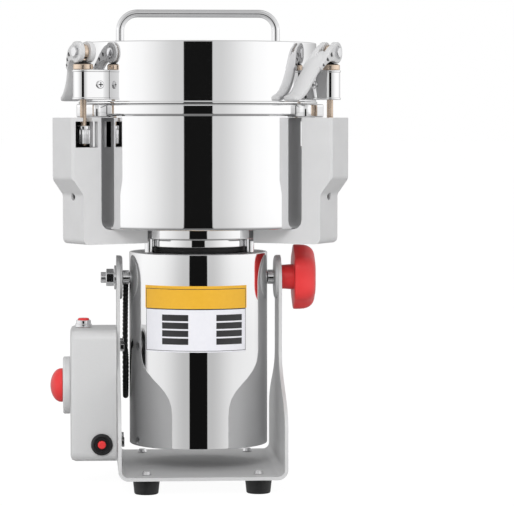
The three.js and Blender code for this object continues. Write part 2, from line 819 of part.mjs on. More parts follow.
// The lever's handle in rings, each a shallow roof with a ridge, as shares of width and thickness.
function leverHandle() {
  const steps = 10;
  const startShare = 0.02;
  const aheadShare = 0.01;
  const acrossShares = [-0.5, 0.5, 0.5, 0.5, 0, -0.5, -0.5];
  const upShares = [-0.5, -0.5, -0.2, 0.3, 0.5, 0.3, -0.2];
  const ridgeShares = [0, 0, 0, 0, 1, 0, 0];
  const rootWidth = 2 * (lever.cheekThick + gap) + clamp.eyeThick;
  const rings = [];
  for (let i = 0; i <= steps; i++) {
    const share = startShare + ((1 - startShare) * i) / steps;
    const here = leverRing(share);
    const along = leverRing(share + aheadShare).sub(leverRing(share - aheadShare)).normalize();
    const outward = new THREE.Vector3(here.x, here.y, 0).normalize();
    const normal = new THREE.Vector3().crossVectors(along, outward).normalize();
    const width = rootWidth + (lever.tipWidth - rootWidth) * share;
    rings.push(acrossShares.map((across, k) => here.clone()
      .addScaledVector(outward, across * width)
      .addScaledVector(normal, upShares[k] * lever.thick + ridgeShares[k] * lever.ridge)));
  }
  return lofted(rings);
}

// A closed tube through rings of equal counts, with flat ends.
function lofted(rings) {
  const count = rings[0].length;
  const positions = rings.flat().flatMap((p) => [p.x, p.y, p.z]);
  const faces = [];
  for (let i = 0; i + 1 < rings.length; i++) {
    for (let k = 0; k < count; k++) {
      const a = i * count + k;
      const b = i * count + ((k + 1) % count);
      faces.push(a, b, a + count, b, b + count, a + count);
    }
  }
  const last = (rings.length - 1) * count;
  for (let k = 1; k + 1 < count; k++) {
    faces.push(0, k + 1, k);
    faces.push(last, last + k, last + k + 1);
  }
  const geometry = new THREE.BufferGeometry();
  geometry.setAttribute("position", new THREE.Float32BufferAttribute(positions, 3));
  geometry.setIndex(faces);
  return solid(geometry);
}

function leverSolid() {
  const eyeHalf = clamp.eyeThick / 2 + gap;
  const outer = eyeHalf + lever.cheekThick;
  const centre = [clamp.boltPlace, clamp.boltOffset, pinHeight];
  const disc = rodX(lever.cheekRadius, -outer, outer, 20).translate(centre);
  const slotRoom = rodX(lever.cheekRadius + lever.slotClear, -eyeHalf, eyeHalf, 20).translate(centre);
  const pinHole = rodX(clamp.pinRadius, -outer - overrun, outer + overrun, 14).translate(centre);
  const recess = rodX(clamp.pinHeadRadius + gap, 0, lever.cheekThick, 16);
  return disc
    .add(leverHandle())
    .subtract(slotRoom)
    .subtract(pinHole)
    .subtract(recess.translate([outer, 0, 0]).translate(centre))
    .subtract(recess.translate([-outer - lever.cheekThick, 0, 0]).translate(centre));
}

function pinSolid() {
  const outer = clamp.eyeThick / 2 + gap + lever.cheekThick;
  const headLow = outer + gap;
  const headHigh = headLow + clamp.pinHeadThick;
  return rodX(clamp.pinRadius - gap, -headLow - finestEdge, headLow + finestEdge, 14)
    .add(rodX(clamp.pinHeadRadius, headLow, headHigh, 14))
    .add(rodX(clamp.pinHeadRadius, -headHigh, -headLow, 14))
    .translate([clamp.boltPlace, clamp.boltOffset, pinHeight]);
}

function addClamps() {
  const parts = {
    lid_lug: [lugSolid(), finish.polished],
    eye_bolt: [boltSolid(), finish.brass],
    clamp_washer: [washerSolid(), finish.brass],
    tension_nut: [nutSolid(), finish.chrome],
    clamp_lever: [leverSolid(), finish.cast],
    lever_pin: [pinSolid(), finish.chrome],
  };
  ringNames.forEach((place, i) => {
    for (const [name, [shape, look]] of Object.entries(parts)) {
      addPiece(name + "_" + place, aroundRing(shape, i), look);
    }
  });
}

// Pivots on both sides, the bolt and nut on the left and the lock knob on the right.
function addSpacers() {
  const wallIn = stand.width / 2 - stand.bossThick;
  const near = housing.radius + gap;
  const far = wallIn - gap;
  const bore = rodX(pivot.boltRadius + gap, near - overrun, far + overrun, 24);
  const spacer = rodX(pivot.bossRadius, near, far, 28).subtract(bore).translate([0, 0, stand.pivotHeight]);
  addPiece("pivot_spacer_left", spacer.mirror([1, 0, 0]), finish.chrome);
  addPiece("pivot_spacer_right", spacer, finish.chrome);
}

function addPivotBolt() {
  const z = stand.pivotHeight;
  const washerOut = -stand.width / 2 - gap;
  const washerIn = washerOut - pivot.washerThick;
  const ring = rodX(pivot.washerRadius, washerIn, washerOut, 28);
  const bore = rodX(pivot.boltRadius + gap, washerIn - overrun, washerOut + overrun, 24);
  addPiece("pivot_washer_left", ring.subtract(bore).translate([0, 0, z]), finish.chrome);
  const nutIn = washerIn - gap;
  const nutOut = nutIn - pivot.nutHeight;
  const bolt = rodX(pivot.boltRadius, nutOut - pivot.boltTail, -motorCan.radius - gap, 24);
  const hex = rodX(pivot.nutRadius, nutOut, nutIn, 6);
  addPiece("pivot_bolt_left", bolt.add(hex).translate([0, 0, z]), finish.chrome);
}

function addLockKnob() {
  const start = stand.width / 2 + gap;
  const headLow = start + lock.hubLength;
  const star = waveShape(lock.radius, lock.lobe, lock.lobes, 6);
  const head = upAlongX(raisedSoft(star, headLow, headLow + lock.thick, lock.edge));
  const stem = rodX(lock.hubRadius, start, headLow + lock.edge, 28);
  const stud = rodX(pivot.boltRadius, motorCan.radius + gap, start + lock.hubLength / 2, 24);
  addPiece("lock_knob", head.add(stem).add(stud).translate([0, 0, stand.pivotHeight]), finish.red);
}

// Motor lead: out of the control box through the upright, a slack loop in the space beside the
// housing, and up to the pivot spacer, so that it stays clear while the head tilts.
// Shares of the height from the exit to the pivot: [back, up].
const leadLoopShares = [
  [0.02, -0.24],
  [0.16, -0.6],
  [0.46, -0.82],
  [0.78, -0.68],
  [0.86, -0.26],
  [0.72, 0.2],
  [0.44, 0.56],
];

function leadPoints() {
  const side = -(housing.radius + lead.clear + lead.radius);
  const reach = stand.pivotHeight - lead.exitHeight;
  const upright = -stand.width / 2;
  const end = pivot.bossRadius + gap;
  const endTurn = radians(pivot.leadAngle);
  return [
    new THREE.Vector3(upright - lead.tail, 0, lead.exitHeight),
    new THREE.Vector3(upright + stand.sheet, 0, lead.exitHeight),
    new THREE.Vector3(side - lead.radius / 2, 0, lead.exitHeight - lead.radius),
    ...leadLoopShares.map(([back, up]) => new THREE.Vector3(side, back * reach, lead.exitHeight + up * reach)),
    new THREE.Vector3(side, end * Math.cos(endTurn), stand.pivotHeight + end * Math.sin(endTurn)),
  ];
}

function addLead() {
  const path = new THREE.CatmullRomCurve3(leadPoints());
  const round = new THREE.Shape().absarc(0, 0, lead.radius, 0, 2 * Math.PI);
  const tube = solid(new THREE.ExtrudeGeometry(round, { steps: 44, extrudePath: path, curveSegments: 4 }));
  addPiece("motor_lead", tube, finish.rubber);
}

// Spindle and blades in the bowl. A long blade sweeps back and narrows towards both its tips.
function bladeOutline() {
  const steps = 10;
  const taperShare = 0.75;
  const edge = (end, side) => {
    const points = [];
    for (let i = 0; i <= steps; i++) {
      const share = i / steps;
      const turn = radians(blade.sweepDegrees) * share * share;
      const along = blade.reach * share;
      const half = side * (blade.width / 2) * (1 - taperShare * share * share);
      const x = along * Math.cos(turn) - half * Math.sin(turn);
      const y = along * Math.sin(turn) + half * Math.cos(turn);
      points.push([end * x, end * y]);
    }
    return points;
  };
  const right = edge(1, -1);
  const rightBack = edge(1, 1).reverse();
  const left = edge(-1, -1);
  const leftBack = edge(-1, 1).reverse();
  return outlineShape([...right, ...rightBack, ...left.slice(1), ...leftBack.slice(0, -1)]);
}

// A blade with the collar above it that carries the next one.
function bladeOnCollar(height, next) {
  const bore = rod(shaft.radius + gap, height - overrun, next + overrun);
  const collar = rod(shaft.collarRadius, height, next - gap);
  return raised(bladeOutline(), height, height + blade.thick).add(collar).subtract(bore);
}

// Three short bars crossed under the nut.
function topBladeSolid() {
  const half = topBlade.width / 2;
  const bar = block([-topBlade.reach, -half, topBladeLow], [topBlade.reach, half, topBladeLow + blade.thick]);
  const bore = rod(shaft.radius + gap, topBladeLow - overrun, topNutLow + overrun);
  let shape = rod(shaft.collarRadius, topBladeLow, topNutLow - gap);
  for (let i = 0; i < topBlade.bars; i++) {
    shape = shape.add(bar.rotate([0, 0, (180 * i) / topBlade.bars]));
  }
  return shape.subtract(bore);
}

function addSpindle() {
  const shoulder = rod(shaft.collarRadius, shoulderLow, bladeLow - gap);
  const topNut = rod(shaft.nutRadius, topNutLow, topNutLow + shaft.nutHeight, 6);
  const core = rod(shaft.radius, shaftLow, topNutLow + shaft.nutHeight / 2);
  addPiece("spindle", core.add(shoulder).add(topNut), finish.steel);
  addPiece("blade_lower", bladeOnCollar(bladeLow, bladeHigh), finish.steel);
  addPiece("blade_upper", bladeOnCollar(bladeHigh, topBladeLow).rotate([0, 0, 90]), finish.steel);
  addPiece("blade_top", topBladeSolid(), finish.steel);
}

addStand();
addFeet();
addControlBox();
addBoxScrews();
addDial();
addPowerButton();
addResetButton();
addMotor();
addBearing();
addHubPlate();
addArms();
addBowl();
addGasket();
addLid();
addHandle();
addClamps();
addSpacers();
addPivotBolt();
addLockKnob();
addLead();
addSpindle();

// The whole is moved so that the centre of its outer box's base is the origin.
const bounds = new THREE.Box3().setFromObject(grinder);
const middle = bounds.getCenter(new THREE.Vector3());
grinder.position.set(-middle.x, -middle.y, -bounds.min.z);
grinder.updateMatrixWorld(true);

export default grinder;
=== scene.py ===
import json
import math

import bmesh
import bpy
from mathutils import Matrix, Vector

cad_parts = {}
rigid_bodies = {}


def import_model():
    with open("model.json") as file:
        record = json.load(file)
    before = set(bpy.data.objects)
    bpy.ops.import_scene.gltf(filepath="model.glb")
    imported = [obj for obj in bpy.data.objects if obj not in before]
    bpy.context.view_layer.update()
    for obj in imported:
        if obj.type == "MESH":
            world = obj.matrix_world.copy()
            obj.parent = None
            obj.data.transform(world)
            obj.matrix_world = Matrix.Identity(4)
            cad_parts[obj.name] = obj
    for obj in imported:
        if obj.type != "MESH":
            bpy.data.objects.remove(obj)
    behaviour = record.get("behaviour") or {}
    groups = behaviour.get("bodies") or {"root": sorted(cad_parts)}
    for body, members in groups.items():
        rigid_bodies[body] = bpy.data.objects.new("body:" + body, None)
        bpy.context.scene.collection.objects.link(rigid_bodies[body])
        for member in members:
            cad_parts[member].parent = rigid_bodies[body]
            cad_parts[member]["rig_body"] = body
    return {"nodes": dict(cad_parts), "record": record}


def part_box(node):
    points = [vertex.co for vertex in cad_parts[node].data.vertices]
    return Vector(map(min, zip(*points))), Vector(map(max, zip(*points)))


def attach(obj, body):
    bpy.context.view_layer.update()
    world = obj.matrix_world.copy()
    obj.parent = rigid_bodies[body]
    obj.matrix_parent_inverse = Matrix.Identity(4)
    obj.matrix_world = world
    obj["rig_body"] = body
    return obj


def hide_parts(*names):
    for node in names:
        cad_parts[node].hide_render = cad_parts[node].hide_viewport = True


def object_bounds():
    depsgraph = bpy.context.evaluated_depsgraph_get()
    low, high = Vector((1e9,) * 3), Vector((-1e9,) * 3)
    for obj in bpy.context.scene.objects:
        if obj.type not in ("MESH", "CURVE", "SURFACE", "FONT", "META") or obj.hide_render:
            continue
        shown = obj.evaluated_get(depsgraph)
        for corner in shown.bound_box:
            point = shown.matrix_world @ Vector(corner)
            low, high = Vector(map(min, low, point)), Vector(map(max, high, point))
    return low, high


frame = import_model()
cad_low, cad_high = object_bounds()

# Electric spice grinder in a plain studio. Metres, +Z up, the front faces -Y.

MM = 0.001
QUARTER = math.pi / 2
FINE = 160  # segments round a large turned piece
CREASE = 35  # degrees between two faces that aren't shaded as one
MERGE = 1e-6  # points that are closer become one
LEVEL = 1e-9  # an edge that climbs less lies flat
RING_NAMES = ("left", "right", "back")
RING_FIRST = math.radians(210)  # where the left arm points, counted from X
CORNER_NAMES = ("front_left", "front_right", "back_left", "back_right")

# The spindle's axis.
lid_low, lid_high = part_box("lid")
AXIS = Vector(((lid_low.x + lid_high.x) / 2, (lid_low.y + lid_high.y) / 2, 0))
ON_AXIS = Matrix.Translation(AXIS)

# Studio. Lengths in metres, angles in degrees. The photo's width and what is measured in it are in pixels.
FLOOR = cad_low.z
FLOOR_SIZE = 60.0
IMAGE_WIDTH = 514
AXIS_PIXEL = 198.2
FOCAL_PIXELS = 2643.0
CAMERA_BACK = 2.4
CAMERA_HEIGHT = 0.3338
CAMERA_AZIMUTH = -2.5
CAMERA_PITCH = 2.9955
SENSOR = 36.0


def ring_turn(index):
    """Places a piece of one arm or clamp, drawn outwards along X from the axis."""
    turn = RING_FIRST + index * 2 * math.pi / len(RING_NAMES)
    return ON_AXIS @ Matrix.Rotation(turn, 4, "Z")


# Materials. Each one is a Principled surface whose roughness, and often its colour and bump, vary finely.
def new_material(name, color, roughness, metallic=0.0, coat=0.0):
    made = bpy.data.materials.new(name)
    made.use_nodes = True
    shader = made.node_tree.nodes["Principled BSDF"]
    shader.inputs["Base Color"].default_value = (*color, 1)
    shader.inputs["Roughness"].default_value = roughness
    shader.inputs["Metallic"].default_value = metallic
    shader.inputs["Coat Weight"].default_value = coat
    shader.inputs["Coat Roughness"].default_value = 0.08
    return made


def noise_of(made, scale, detail=4.0, stretch=(1, 1, 1)):
    """A noise texture in the object's own coordinates, in metres."""
    nodes, links = made.node_tree.nodes, made.node_tree.links
    place = nodes.new("ShaderNodeTexCoord")
    mapping = nodes.new("ShaderNodeMapping")
    mapping.inputs["Scale"].default_value = stretch
    noise = nodes.new("ShaderNodeTexNoise")
    noise.inputs["Scale"].default_value = scale
    noise.inputs["Detail"].default_value = detail
    links.new(place.outputs["Object"], mapping.inputs["Vector"])
    links.new(mapping.outputs["Vector"], noise.inputs["Vector"])
    return noise.outputs["Fac"]


def ranged(made, value, low, high):
    """A value from 0 to 1 spread between low and high."""
    node = made.node_tree.nodes.new("ShaderNodeMapRange")
    node.inputs["To Min"].default_value = low
    node.inputs["To Max"].default_value = high
    made.node_tree.links.new(value, node.inputs["Value"])
    return node.outputs["Result"]


def feed(made, value, socket):
    shader = made.node_tree.nodes["Principled BSDF"]
    made.node_tree.links.new(value, shader.inputs[socket])


def vary_roughness(made, value, low, high):
    feed(made, ranged(made, value, low, high), "Roughness")


def vary_color(made, value, dark, light):
    mix = made.node_tree.nodes.new("ShaderNodeMix")
    mix.data_type = "RGBA"
    mix.inputs["A"].default_value = (*dark, 1)
    mix.inputs["B"].default_value = (*light, 1)
    made.node_tree.links.new(value, mix.inputs["Factor"])
    feed(made, mix.outputs["Result"], "Base Color")


def bump(made, value, strength):
    node = made.node_tree.nodes.new("ShaderNodeBump")
    node.inputs["Strength"].default_value = strength
    node.inputs["Distance"].default_value = 0.3 * MM
    made.node_tree.links.new(value, node.inputs["Height"])
    feed(made, node.outputs["Normal"], "Normal")


def polished_material():
    made = new_material("polished_steel", (0.93, 0.93, 0.935), 0.03, 1.0)
    fine = noise_of(made, 900, 5, (1, 1, 0.05))
    vary_roughness(made, fine, 0.012, 0.045)
    vary_color(made, noise_of(made, 14), (0.92, 0.92, 0.925), (0.96, 0.96, 0.965))
    return made


def chrome_material():
    made = new_material("chrome", (0.9, 0.9, 0.91), 0.08, 1.0)
    vary_roughness(made, noise_of(made, 300), 0.06, 0.16)
    vary_color(made, noise_of(made, 60), (0.86, 0.86, 0.87), (0.93, 0.93, 0.94))
    return made


def cast_material():
    made = new_material("cast_aluminium", (0.7, 0.7, 0.705), 0.42, 0.25)
    vary_color(made, noise_of(made, 60, 5), (0.69, 0.69, 0.695), (0.76, 0.76, 0.765))
    vary_roughness(made, noise_of(made, 500), 0.4, 0.54)
    bump(made, noise_of(made, 1400, 3), 0.16)
    return made


def painted_material():
    made = new_material("painted", (0.62, 0.625, 0.63), 0.38, 0.2)
    vary_color(made, noise_of(made, 1800, 2), (0.65, 0.652, 0.655), (0.74, 0.742, 0.745))
    vary_roughness(made, noise_of(made, 400), 0.34, 0.5)
    bump(made, noise_of(made, 1000, 3), 0.1)
    return made


def brass_material():
    made = new_material("brass", (0.78, 0.62, 0.48), 0.22, 1.0)
    vary_roughness(made, noise_of(made, 500), 0.16, 0.32)
    vary_color(made, noise_of(made, 90), (0.8, 0.63, 0.49), (0.9, 0.74, 0.6))
    return made


def rubber_material():
    made = new_material("rubber", (0.018, 0.018, 0.019), 0.55)
    vary_color(made, noise_of(made, 250), (0.008, 0.008, 0.0085), (0.016, 0.016, 0.0165))
    vary_roughness(made, noise_of(made, 700), 0.42, 0.62)
    bump(made, noise_of(made, 1500, 3), 0.2)
    return made


def red_material():
    made = new_material("red_plastic", (0.76, 0.035, 0.045), 0.36, coat=0.12)
    vary_color(made, noise_of(made, 40), (0.78, 0.034, 0.036), (0.86, 0.046, 0.048))
    vary_roughness(made, noise_of(made, 250), 0.3, 0.42)
    return made


def black_material():
    made = new_material("black_plastic", (0.015, 0.015, 0.016), 0.3)
    vary_roughness(made, noise_of(made, 500), 0.28, 0.44)
    vary_color(made, noise_of(made, 120), (0.01, 0.01, 0.011), (0.022, 0.022, 0.023))
    return made


def blade_material():
    made = new_material("blade_steel", (0.62, 0.625, 0.63), 0.3, 1.0)
    vary_roughness(made, noise_of(made, 250, 4, (1, 8, 1)), 0.2, 0.42)
    bump(made, noise_of(made, 600, 3, (0.3, 6, 1)), 0.08)
    return made


def motor_material():
    made = new_material("motor_body", (0.35, 0.35, 0.36), 0.45, 0.9)
    vary_roughness(made, noise_of(made, 300), 0.38, 0.55)
    return made


def print_material(name, dark, light):
    """Printed film of one colour, with a faint mottle."""
    made = new_material(name, light, 0.35)
    vary_color(made, noise_of(made, 300), dark, light)
    vary_roughness(made, noise_of(made, 700), 0.28, 0.42)
    return made


looks = {
    "polished_steel": polished_material(),
    "chrome": chrome_material(),
    "cast_aluminium": cast_material(),
    "painted": painted_material(),
    "brass": brass_material(),
    "rubber": rubber_material(),
    "red_plastic": red_material(),
    "black_plastic": black_material(),
    "blade_steel": blade_material(),
    "motor_body": motor_material(),
    "label_yellow": print_material("label_yellow", (0.8, 0.42, 0.022), (0.86, 0.48, 0.03)),
    "label_white": print_material("label_white", (0.8, 0.8, 0.85), (0.86, 0.86, 0.9)),
    "label_dark": print_material("label_dark", (0.016, 0.016, 0.018), (0.028, 0.028, 0.03)),
}
slot_of = {row["node"]: row["material_slot"] for row in frame["record"]["subparts"]}


# Meshes.
def linked(name, data):
    made = bpy.data.objects.new(name, data)
    bpy.context.scene.collection.objects.link(made)
    return made


def object_of(name, shape):
    """A bmesh as an object in the scene."""
    data = bpy.data.meshes.new(name)
    shape.to_mesh(data)
    shape.free()
    return linked(name, data)


def finish_mesh(name, shape, crease=CREASE):
    """A bmesh as a smooth shaded object, with edges sharper than crease degrees kept."""
    bmesh.ops.remove_doubles(shape, verts=shape.verts, dist=MERGE)
    bmesh.ops.recalc_face_normals(shape, faces=shape.faces)
    for face in shape.faces:
        face.smooth = True
    for edge in shape.edges:
        edge.smooth = edge.is_manifold and edge.calc_face_angle(0) < math.radians(crease)
    return object_of(name, shape)


def joined(name, parts):
    """Several objects as one."""
    shape = bmesh.new()
    for part in parts:
        shape.from_mesh(part.data)
        bpy.data.objects.remove(part)
    return object_of(name, shape)


FILLET_SHARE = 0.44  # of a side, which one fillet may take
SUPPORT_SHARE = 0.1  # of a fillet's reach, between its arc and the points beside it


def filleted(corners, steps=6, closed=True):
    """An outline through (x, y, radius) corners, with each corner rounded to its radius."""
    points = []
    count = len(corners)
    for i, (x, y, radius) in enumerate(corners):
        here = Vector((x, y))
        if radius <= 0 or (not closed and i in (0, count - 1)):
            points.append((x, y))
            continue
        back = Vector(corners[i - 1][:2]) - here
        ahead = Vector(corners[(i + 1) % count][:2]) - here
        angle = back.angle(ahead)
        reach = min(radius / math.tan(angle / 2), min(back.length, ahead.length) * FILLET_SHARE)
        real = reach * math.tan(angle / 2)
        start = here + back.normalized() * reach
        end = here + ahead.normalized() * reach
        centre = here + (back.normalized() + ahead.normalized()).normalized() * math.hypot(reach, real)
        first = start - centre
        sweep = first.angle_signed(end - centre)
        # A point just before and after the arc keeps the straight sides shaded flat.
        points.append(tuple(start + back.normalized() * SUPPORT_SHARE * reach))
        for k in range(steps + 1):
            turn = -sweep * k / steps
            points.append(tuple(centre + Matrix.Rotation(turn, 2) @ first))
        points.append(tuple(end + ahead.normalized() * SUPPORT_SHARE * reach))
    return points


def turned(name, corners, segments=FINE, steps=6, closed=False, place=ON_AXIS):
    """A body turned about Z from (radius, height, fillet) corners, then put in place."""
    outline = filleted(corners, steps, closed)
    shape = bmesh.new()
    rings = []
    for i in range(segments):
        turn = 2 * math.pi * i / segments
        rings.append([shape.verts.new((r * math.cos(turn), r * math.sin(turn), z)) for r, z in outline])
    last = len(outline) if closed else len(outline) - 1
    for i in range(segments):
        near, far = rings[i], rings[(i + 1) % segments]
        for k in range(last):
            n = (k + 1) % len(outline)
            off_axis = [far[m] for m in (k, n) if outline[m][0] != 0]
            if off_axis:
                shape.faces.new([near[k], *off_axis, near[n]])
    bmesh.ops.transform(shape, matrix=place, verts=shape.verts)
    return finish_mesh(name, shape)


def slab(name, outline, low, high, edge, place, steps=3):
    """A flat outline raised from low to high, with round edges at both ends."""
    shape = bmesh.new()
    base = shape.faces.new([shape.verts.new((x, y, low)) for x, y in outline])
    made = bmesh.ops.extrude_face_region(shape, geom=[base])
    top = [g for g in made["geom"] if isinstance(g, bmesh.types.BMVert)]
    bmesh.ops.translate(shape, verts=top, vec=(0, 0, high - low))
    if edge > 0:
        rim = [e for e in shape.edges if abs(e.verts[0].co.z - e.verts[1].co.z) < LEVEL]
        bmesh.ops.bevel(shape, geom=rim, offset=edge, segments=steps, affect="EDGES", profile=0.5)
    bmesh.ops.transform(shape, matrix=place, verts=shape.verts)
    return finish_mesh(name, shape)


def plate(name, low, high, edge, place):
    """A flat plate between two corners, with round edges."""
    outline = [(low[0], low[1]), (high[0], low[1]), (high[0], high[1]), (low[0], high[1])]
    return slab(name, outline, low[2], high[2], edge, place, steps=2)


def lofted(name, rings, place=Matrix.Identity(4), crease=CREASE):
    """A closed skin through rings of points, with flat ends."""
    shape = bmesh.new()
    made = [[shape.verts.new(p) for p in ring] for ring in rings]
    count = len(rings[0])
    for near, far in zip(made, made[1:]):
        for k in range(count):
            n = (k + 1) % count
            shape.faces.new([near[k], near[n], far[n], far[k]])
    shape.faces.new(made[0])
    shape.faces.new(made[-1])
    bmesh.ops.transform(shape, matrix=place, verts=shape.verts)
    return finish_mesh(name, shape, crease)


def tube(name, path, radius, sides=24):
    """A round bar along a list of points. Its radius is a number or follows place and turn."""
    rings = []
    side = None
    for i, point in enumerate(path):
        along = (path[min(i + 1, len(path) - 1)] - path[max(i - 1, 0)]).normalized()
        if side is None:
            side = along.orthogonal().normalized()
        side = (side - along * side.dot(along)).normalized()
        other = along.cross(side)
        ring = []
        for k in range(sides):
            turn = 2 * math.pi * k / sides
            width = radius(i, turn) if callable(radius) else radius
            ring.append(point + width * (math.cos(turn) * side + math.sin(turn) * other))
        rings.append(ring)
    return lofted(name, rings, crease=50)


def smooth_path(points, steps):
    """A Catmull-Rom curve through points."""
    path = []
    for i in range(len(points) - 1):
        a, b, c, d = points[max(i - 1, 0)], points[i], points[i + 1], points[min(i + 2, len(points) - 1)]
        for k in range(steps):
            t = k / steps
            path.append(0.5 * (2 * b + (c - a) * t + (2 * a - 5 * b + 4 * c - d) * t * t
                               + (3 * b - a - 3 * c + d) * t * t * t))
    path.append(points[-1])
    return path


def body_of(node):
    return frame["nodes"][node]["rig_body"]


def set_look(piece, slot):
    piece.data.materials.clear()
    piece.data.materials.append(looks[slot])


def dress(piece, node):
    """The piece stands for a node: it takes the node's body and finish."""
    set_look(piece, slot_of[node])
    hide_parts(node)
    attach(piece, body_of(node))


def add(piece, slot, node):
    """The piece is a detail that moves with a node."""
    set_look(piece, slot)
    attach(piece, body_of(node))


def refine(node, width):
    """The node's own solid stands for it, with its flats merged and its edges rounded."""
    crease, flat = 32, 0.6
    shape = bmesh.new()
    shape.from_mesh(frame["nodes"][node].data)
    bmesh.ops.remove_doubles(shape, verts=shape.verts, dist=2 * MERGE)
    bmesh.ops.dissolve_limit(shape, angle_limit=math.radians(flat), verts=shape.verts, edges=shape.edges)
    made = finish_mesh(node + "_fine", shape, crease)
    soft = made.modifiers.new("edges", "BEVEL")
    soft.width = width
    soft.segments = 3
    soft.limit_method = "ANGLE"
    soft.angle_limit = math.radians(crease)
    soft.harden_normals = True
    dress(made, node)


def box_of(node):
    low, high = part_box(node)
    return low, high, (low + high) / 2


def radius_of(node):
    low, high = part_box(node)
    return (high.x - low.x) / 2


# Bowl, lid and handle.
SHEET = 2 * MM


def make_lid():
    low, high, _ = box_of("lid")
    bead = 1 * MM
    radius = radius_of("lid") - bead
    shoulder = 2.4 * MM
    step = 0.5 * MM
    dress(turned("lid_fine", [
        (radius - SHEET, low.z, 0.3 * MM),
        (radius + bead, low.z, 0.5 * MM),
        (radius + bead, low.z + 1.6 * bead, 0.6 * MM),
        (radius, low.z + 2.2 * bead, 0.5 * MM),
        (radius, high.z - shoulder, 0),
        (radius, high.z, shoulder),
        (radius - 13 * MM, high.z, 1 * MM),
        (radius - 15 * MM, high.z - step, 1 * MM),
        (0, high.z - step, 0),
        (0, high.z - SHEET, 0),
        (radius - SHEET, high.z - SHEET, shoulder - SHEET),
        (radius - SHEET, low.z + bead, 0),
        (radius - SHEET, low.z, 0.3 * MM),
    ], segments=FINE * 2, steps=10), "lid")


BORE = 8.6 * MM  # round the spindle


def make_bowl():
    low, high, _ = box_of("bowl")
    radius = 106 * MM
    rim = 108 * MM
    rim_low = 334.0 * MM
    corner = 6 * MM
    wall = 2.5 * MM
    dress(turned("bowl_fine", [
        (BORE, low.z, 0),
        (radius - corner, low.z, 0),
        (radius, low.z, corner),
        (radius, rim_low - 1.2 * MM, 0.6 * MM),
        (rim, rim_low, 1.4 * MM),
        (rim, high.z, 1.6 * MM),
        (radius - wall, high.z, 0.8 * MM),
        (radius - wall, low.z + wall, corner - wall),
        (BORE, low.z + wall, 0),
    ], segments=FINE * 2, steps=10, closed=True), "bowl")


def make_tabs():
    _, high, _ = box_of("bowl")
    low = 331.5 * MM
    rim = 107 * MM
    reach = 118.7 * MM
    half = 18 * MM
    round_end = 6 * MM
    edge = 1.2 * MM
    outline = filleted([
        (rim, -half, 0), (reach, -half, round_end), (reach, half, round_end), (rim, half, 0),
    ], 8)
    for i, name in enumerate(RING_NAMES):
        add(slab("rim_tab_" + name, outline, low, high.z, edge, ring_turn(i)), "polished_steel", "bowl")


def make_handle():
    low, high, middle = box_of("lid_handle")
    rod = 3.6 * MM
    half = (high.x - low.x) / 2 - rod + 0.8 * MM
    top = high.z - rod
    bend = 15.5 * MM
    corners = [
        (middle.x - half, low.z - bend, 0), (middle.x - half, top, bend),
        (middle.x + half, top, bend), (middle.x + half, low.z - bend, 0),
    ]
    path = [Vector((x, middle.y, max(z, low.z))) for x, z in filleted(corners, 14, closed=False)]
    dress(tube("lid_handle_fine", path, rod, 32), "lid_handle")
    foot, neck = 6.4 * MM, 4.4 * MM
    foot_low, foot_high = -0.6 * MM, 2 * MM
    for side, x in (("left", middle.x - half), ("right", middle.x + half)):
        place = Matrix.Translation((x, middle.y, low.z))
        add(turned("handle_foot_" + side, [
            (0, foot_low, 0), (foot, foot_low, 0.2 * MM), (foot, 1.2 * MM, 0.5 * MM),
            (neck, foot_high, 0.4 * MM), (0, foot_high, 0),
        ], 48, place=place), "chrome", "lid_handle")


def make_seal():
    low, high, _ = box_of("lid_gasket")
    width = 3 * MM
    radius = radius_of("lid_gasket")
    edge = 0.4 * MM
    dress(turned("lid_gasket_fine", [
        (radius - width, low.z, edge), (radius, low.z, edge),
        (radius, high.z, edge), (radius - width, high.z, edge),
    ], steps=4, closed=True), "lid_gasket")


# Motor housing and the rings above it.
def make_housing():
    low, high, _ = box_of("motor_housing")
    radius = radius_of("motor_housing")
    dress(turned("motor_housing_fine", [
        (radius - SHEET, low.z, 0),
        (radius, low.z, 3 * MM),
        (radius, high.z, 0.9 * MM),
        (radius - SHEET, high.z, 0.4 * MM),
    ], segments=FINE * 2, steps=8, closed=True), "motor_housing")


def make_rings():
    low, high, _ = box_of("bearing_ring")
    seat = 27 * MM
    seat_high = low.z + 5 * MM
    radius = radius_of("bearing_ring")
    dress(turned("bearing_ring_fine", [
        (BORE, low.z, 0), (seat, low.z, 0.5 * MM), (seat, seat_high, 0.5 * MM),
        (radius, seat_high, 0.8 * MM), (radius, high.z, 1.2 * MM), (BORE, high.z, 0),
    ], closed=True), "bearing_ring")
    # Painted shade: a black ring fills the gap between the housing's top and the bearing ring, where there
    # is only shade.
    near, far = 30 * MM, 46 * MM
    shade_low, shade_high = low.z + 0.2 * MM, seat_high - 0.2 * MM
    add(turned("bearing_gap_shade", [
        (near, shade_low, 0), (far, shade_low, 0.5 * MM), (far, shade_high, 0.5 * MM), (near, shade_high, 0),
    ], closed=True), "rubber", "bearing_ring")
    plate_high = box_of("hub_plate")[1].z
    plate_low = plate_high - 9.5 * MM
    radius = radius_of("hub_plate")
    dress(turned("hub_plate_fine", [
        (BORE, plate_low, 0), (radius, plate_low, 1 * MM),
        (radius, plate_high, 1 * MM), (BORE, plate_high, 0),
    ], closed=True), "hub_plate")
    post = 4.2 * MM
    post_out = 52 * MM
    for i, name in enumerate(RING_NAMES):
        place = ring_turn(i) @ Matrix.Translation((post_out, 0, 0))
        add(turned("hub_post_" + name, [
            (0, low.z, 0), (post, low.z, 0.4 * MM), (post, plate_low, 0), (0, plate_low, 0),
        ], 40, place=place), "chrome", "hub_plate")


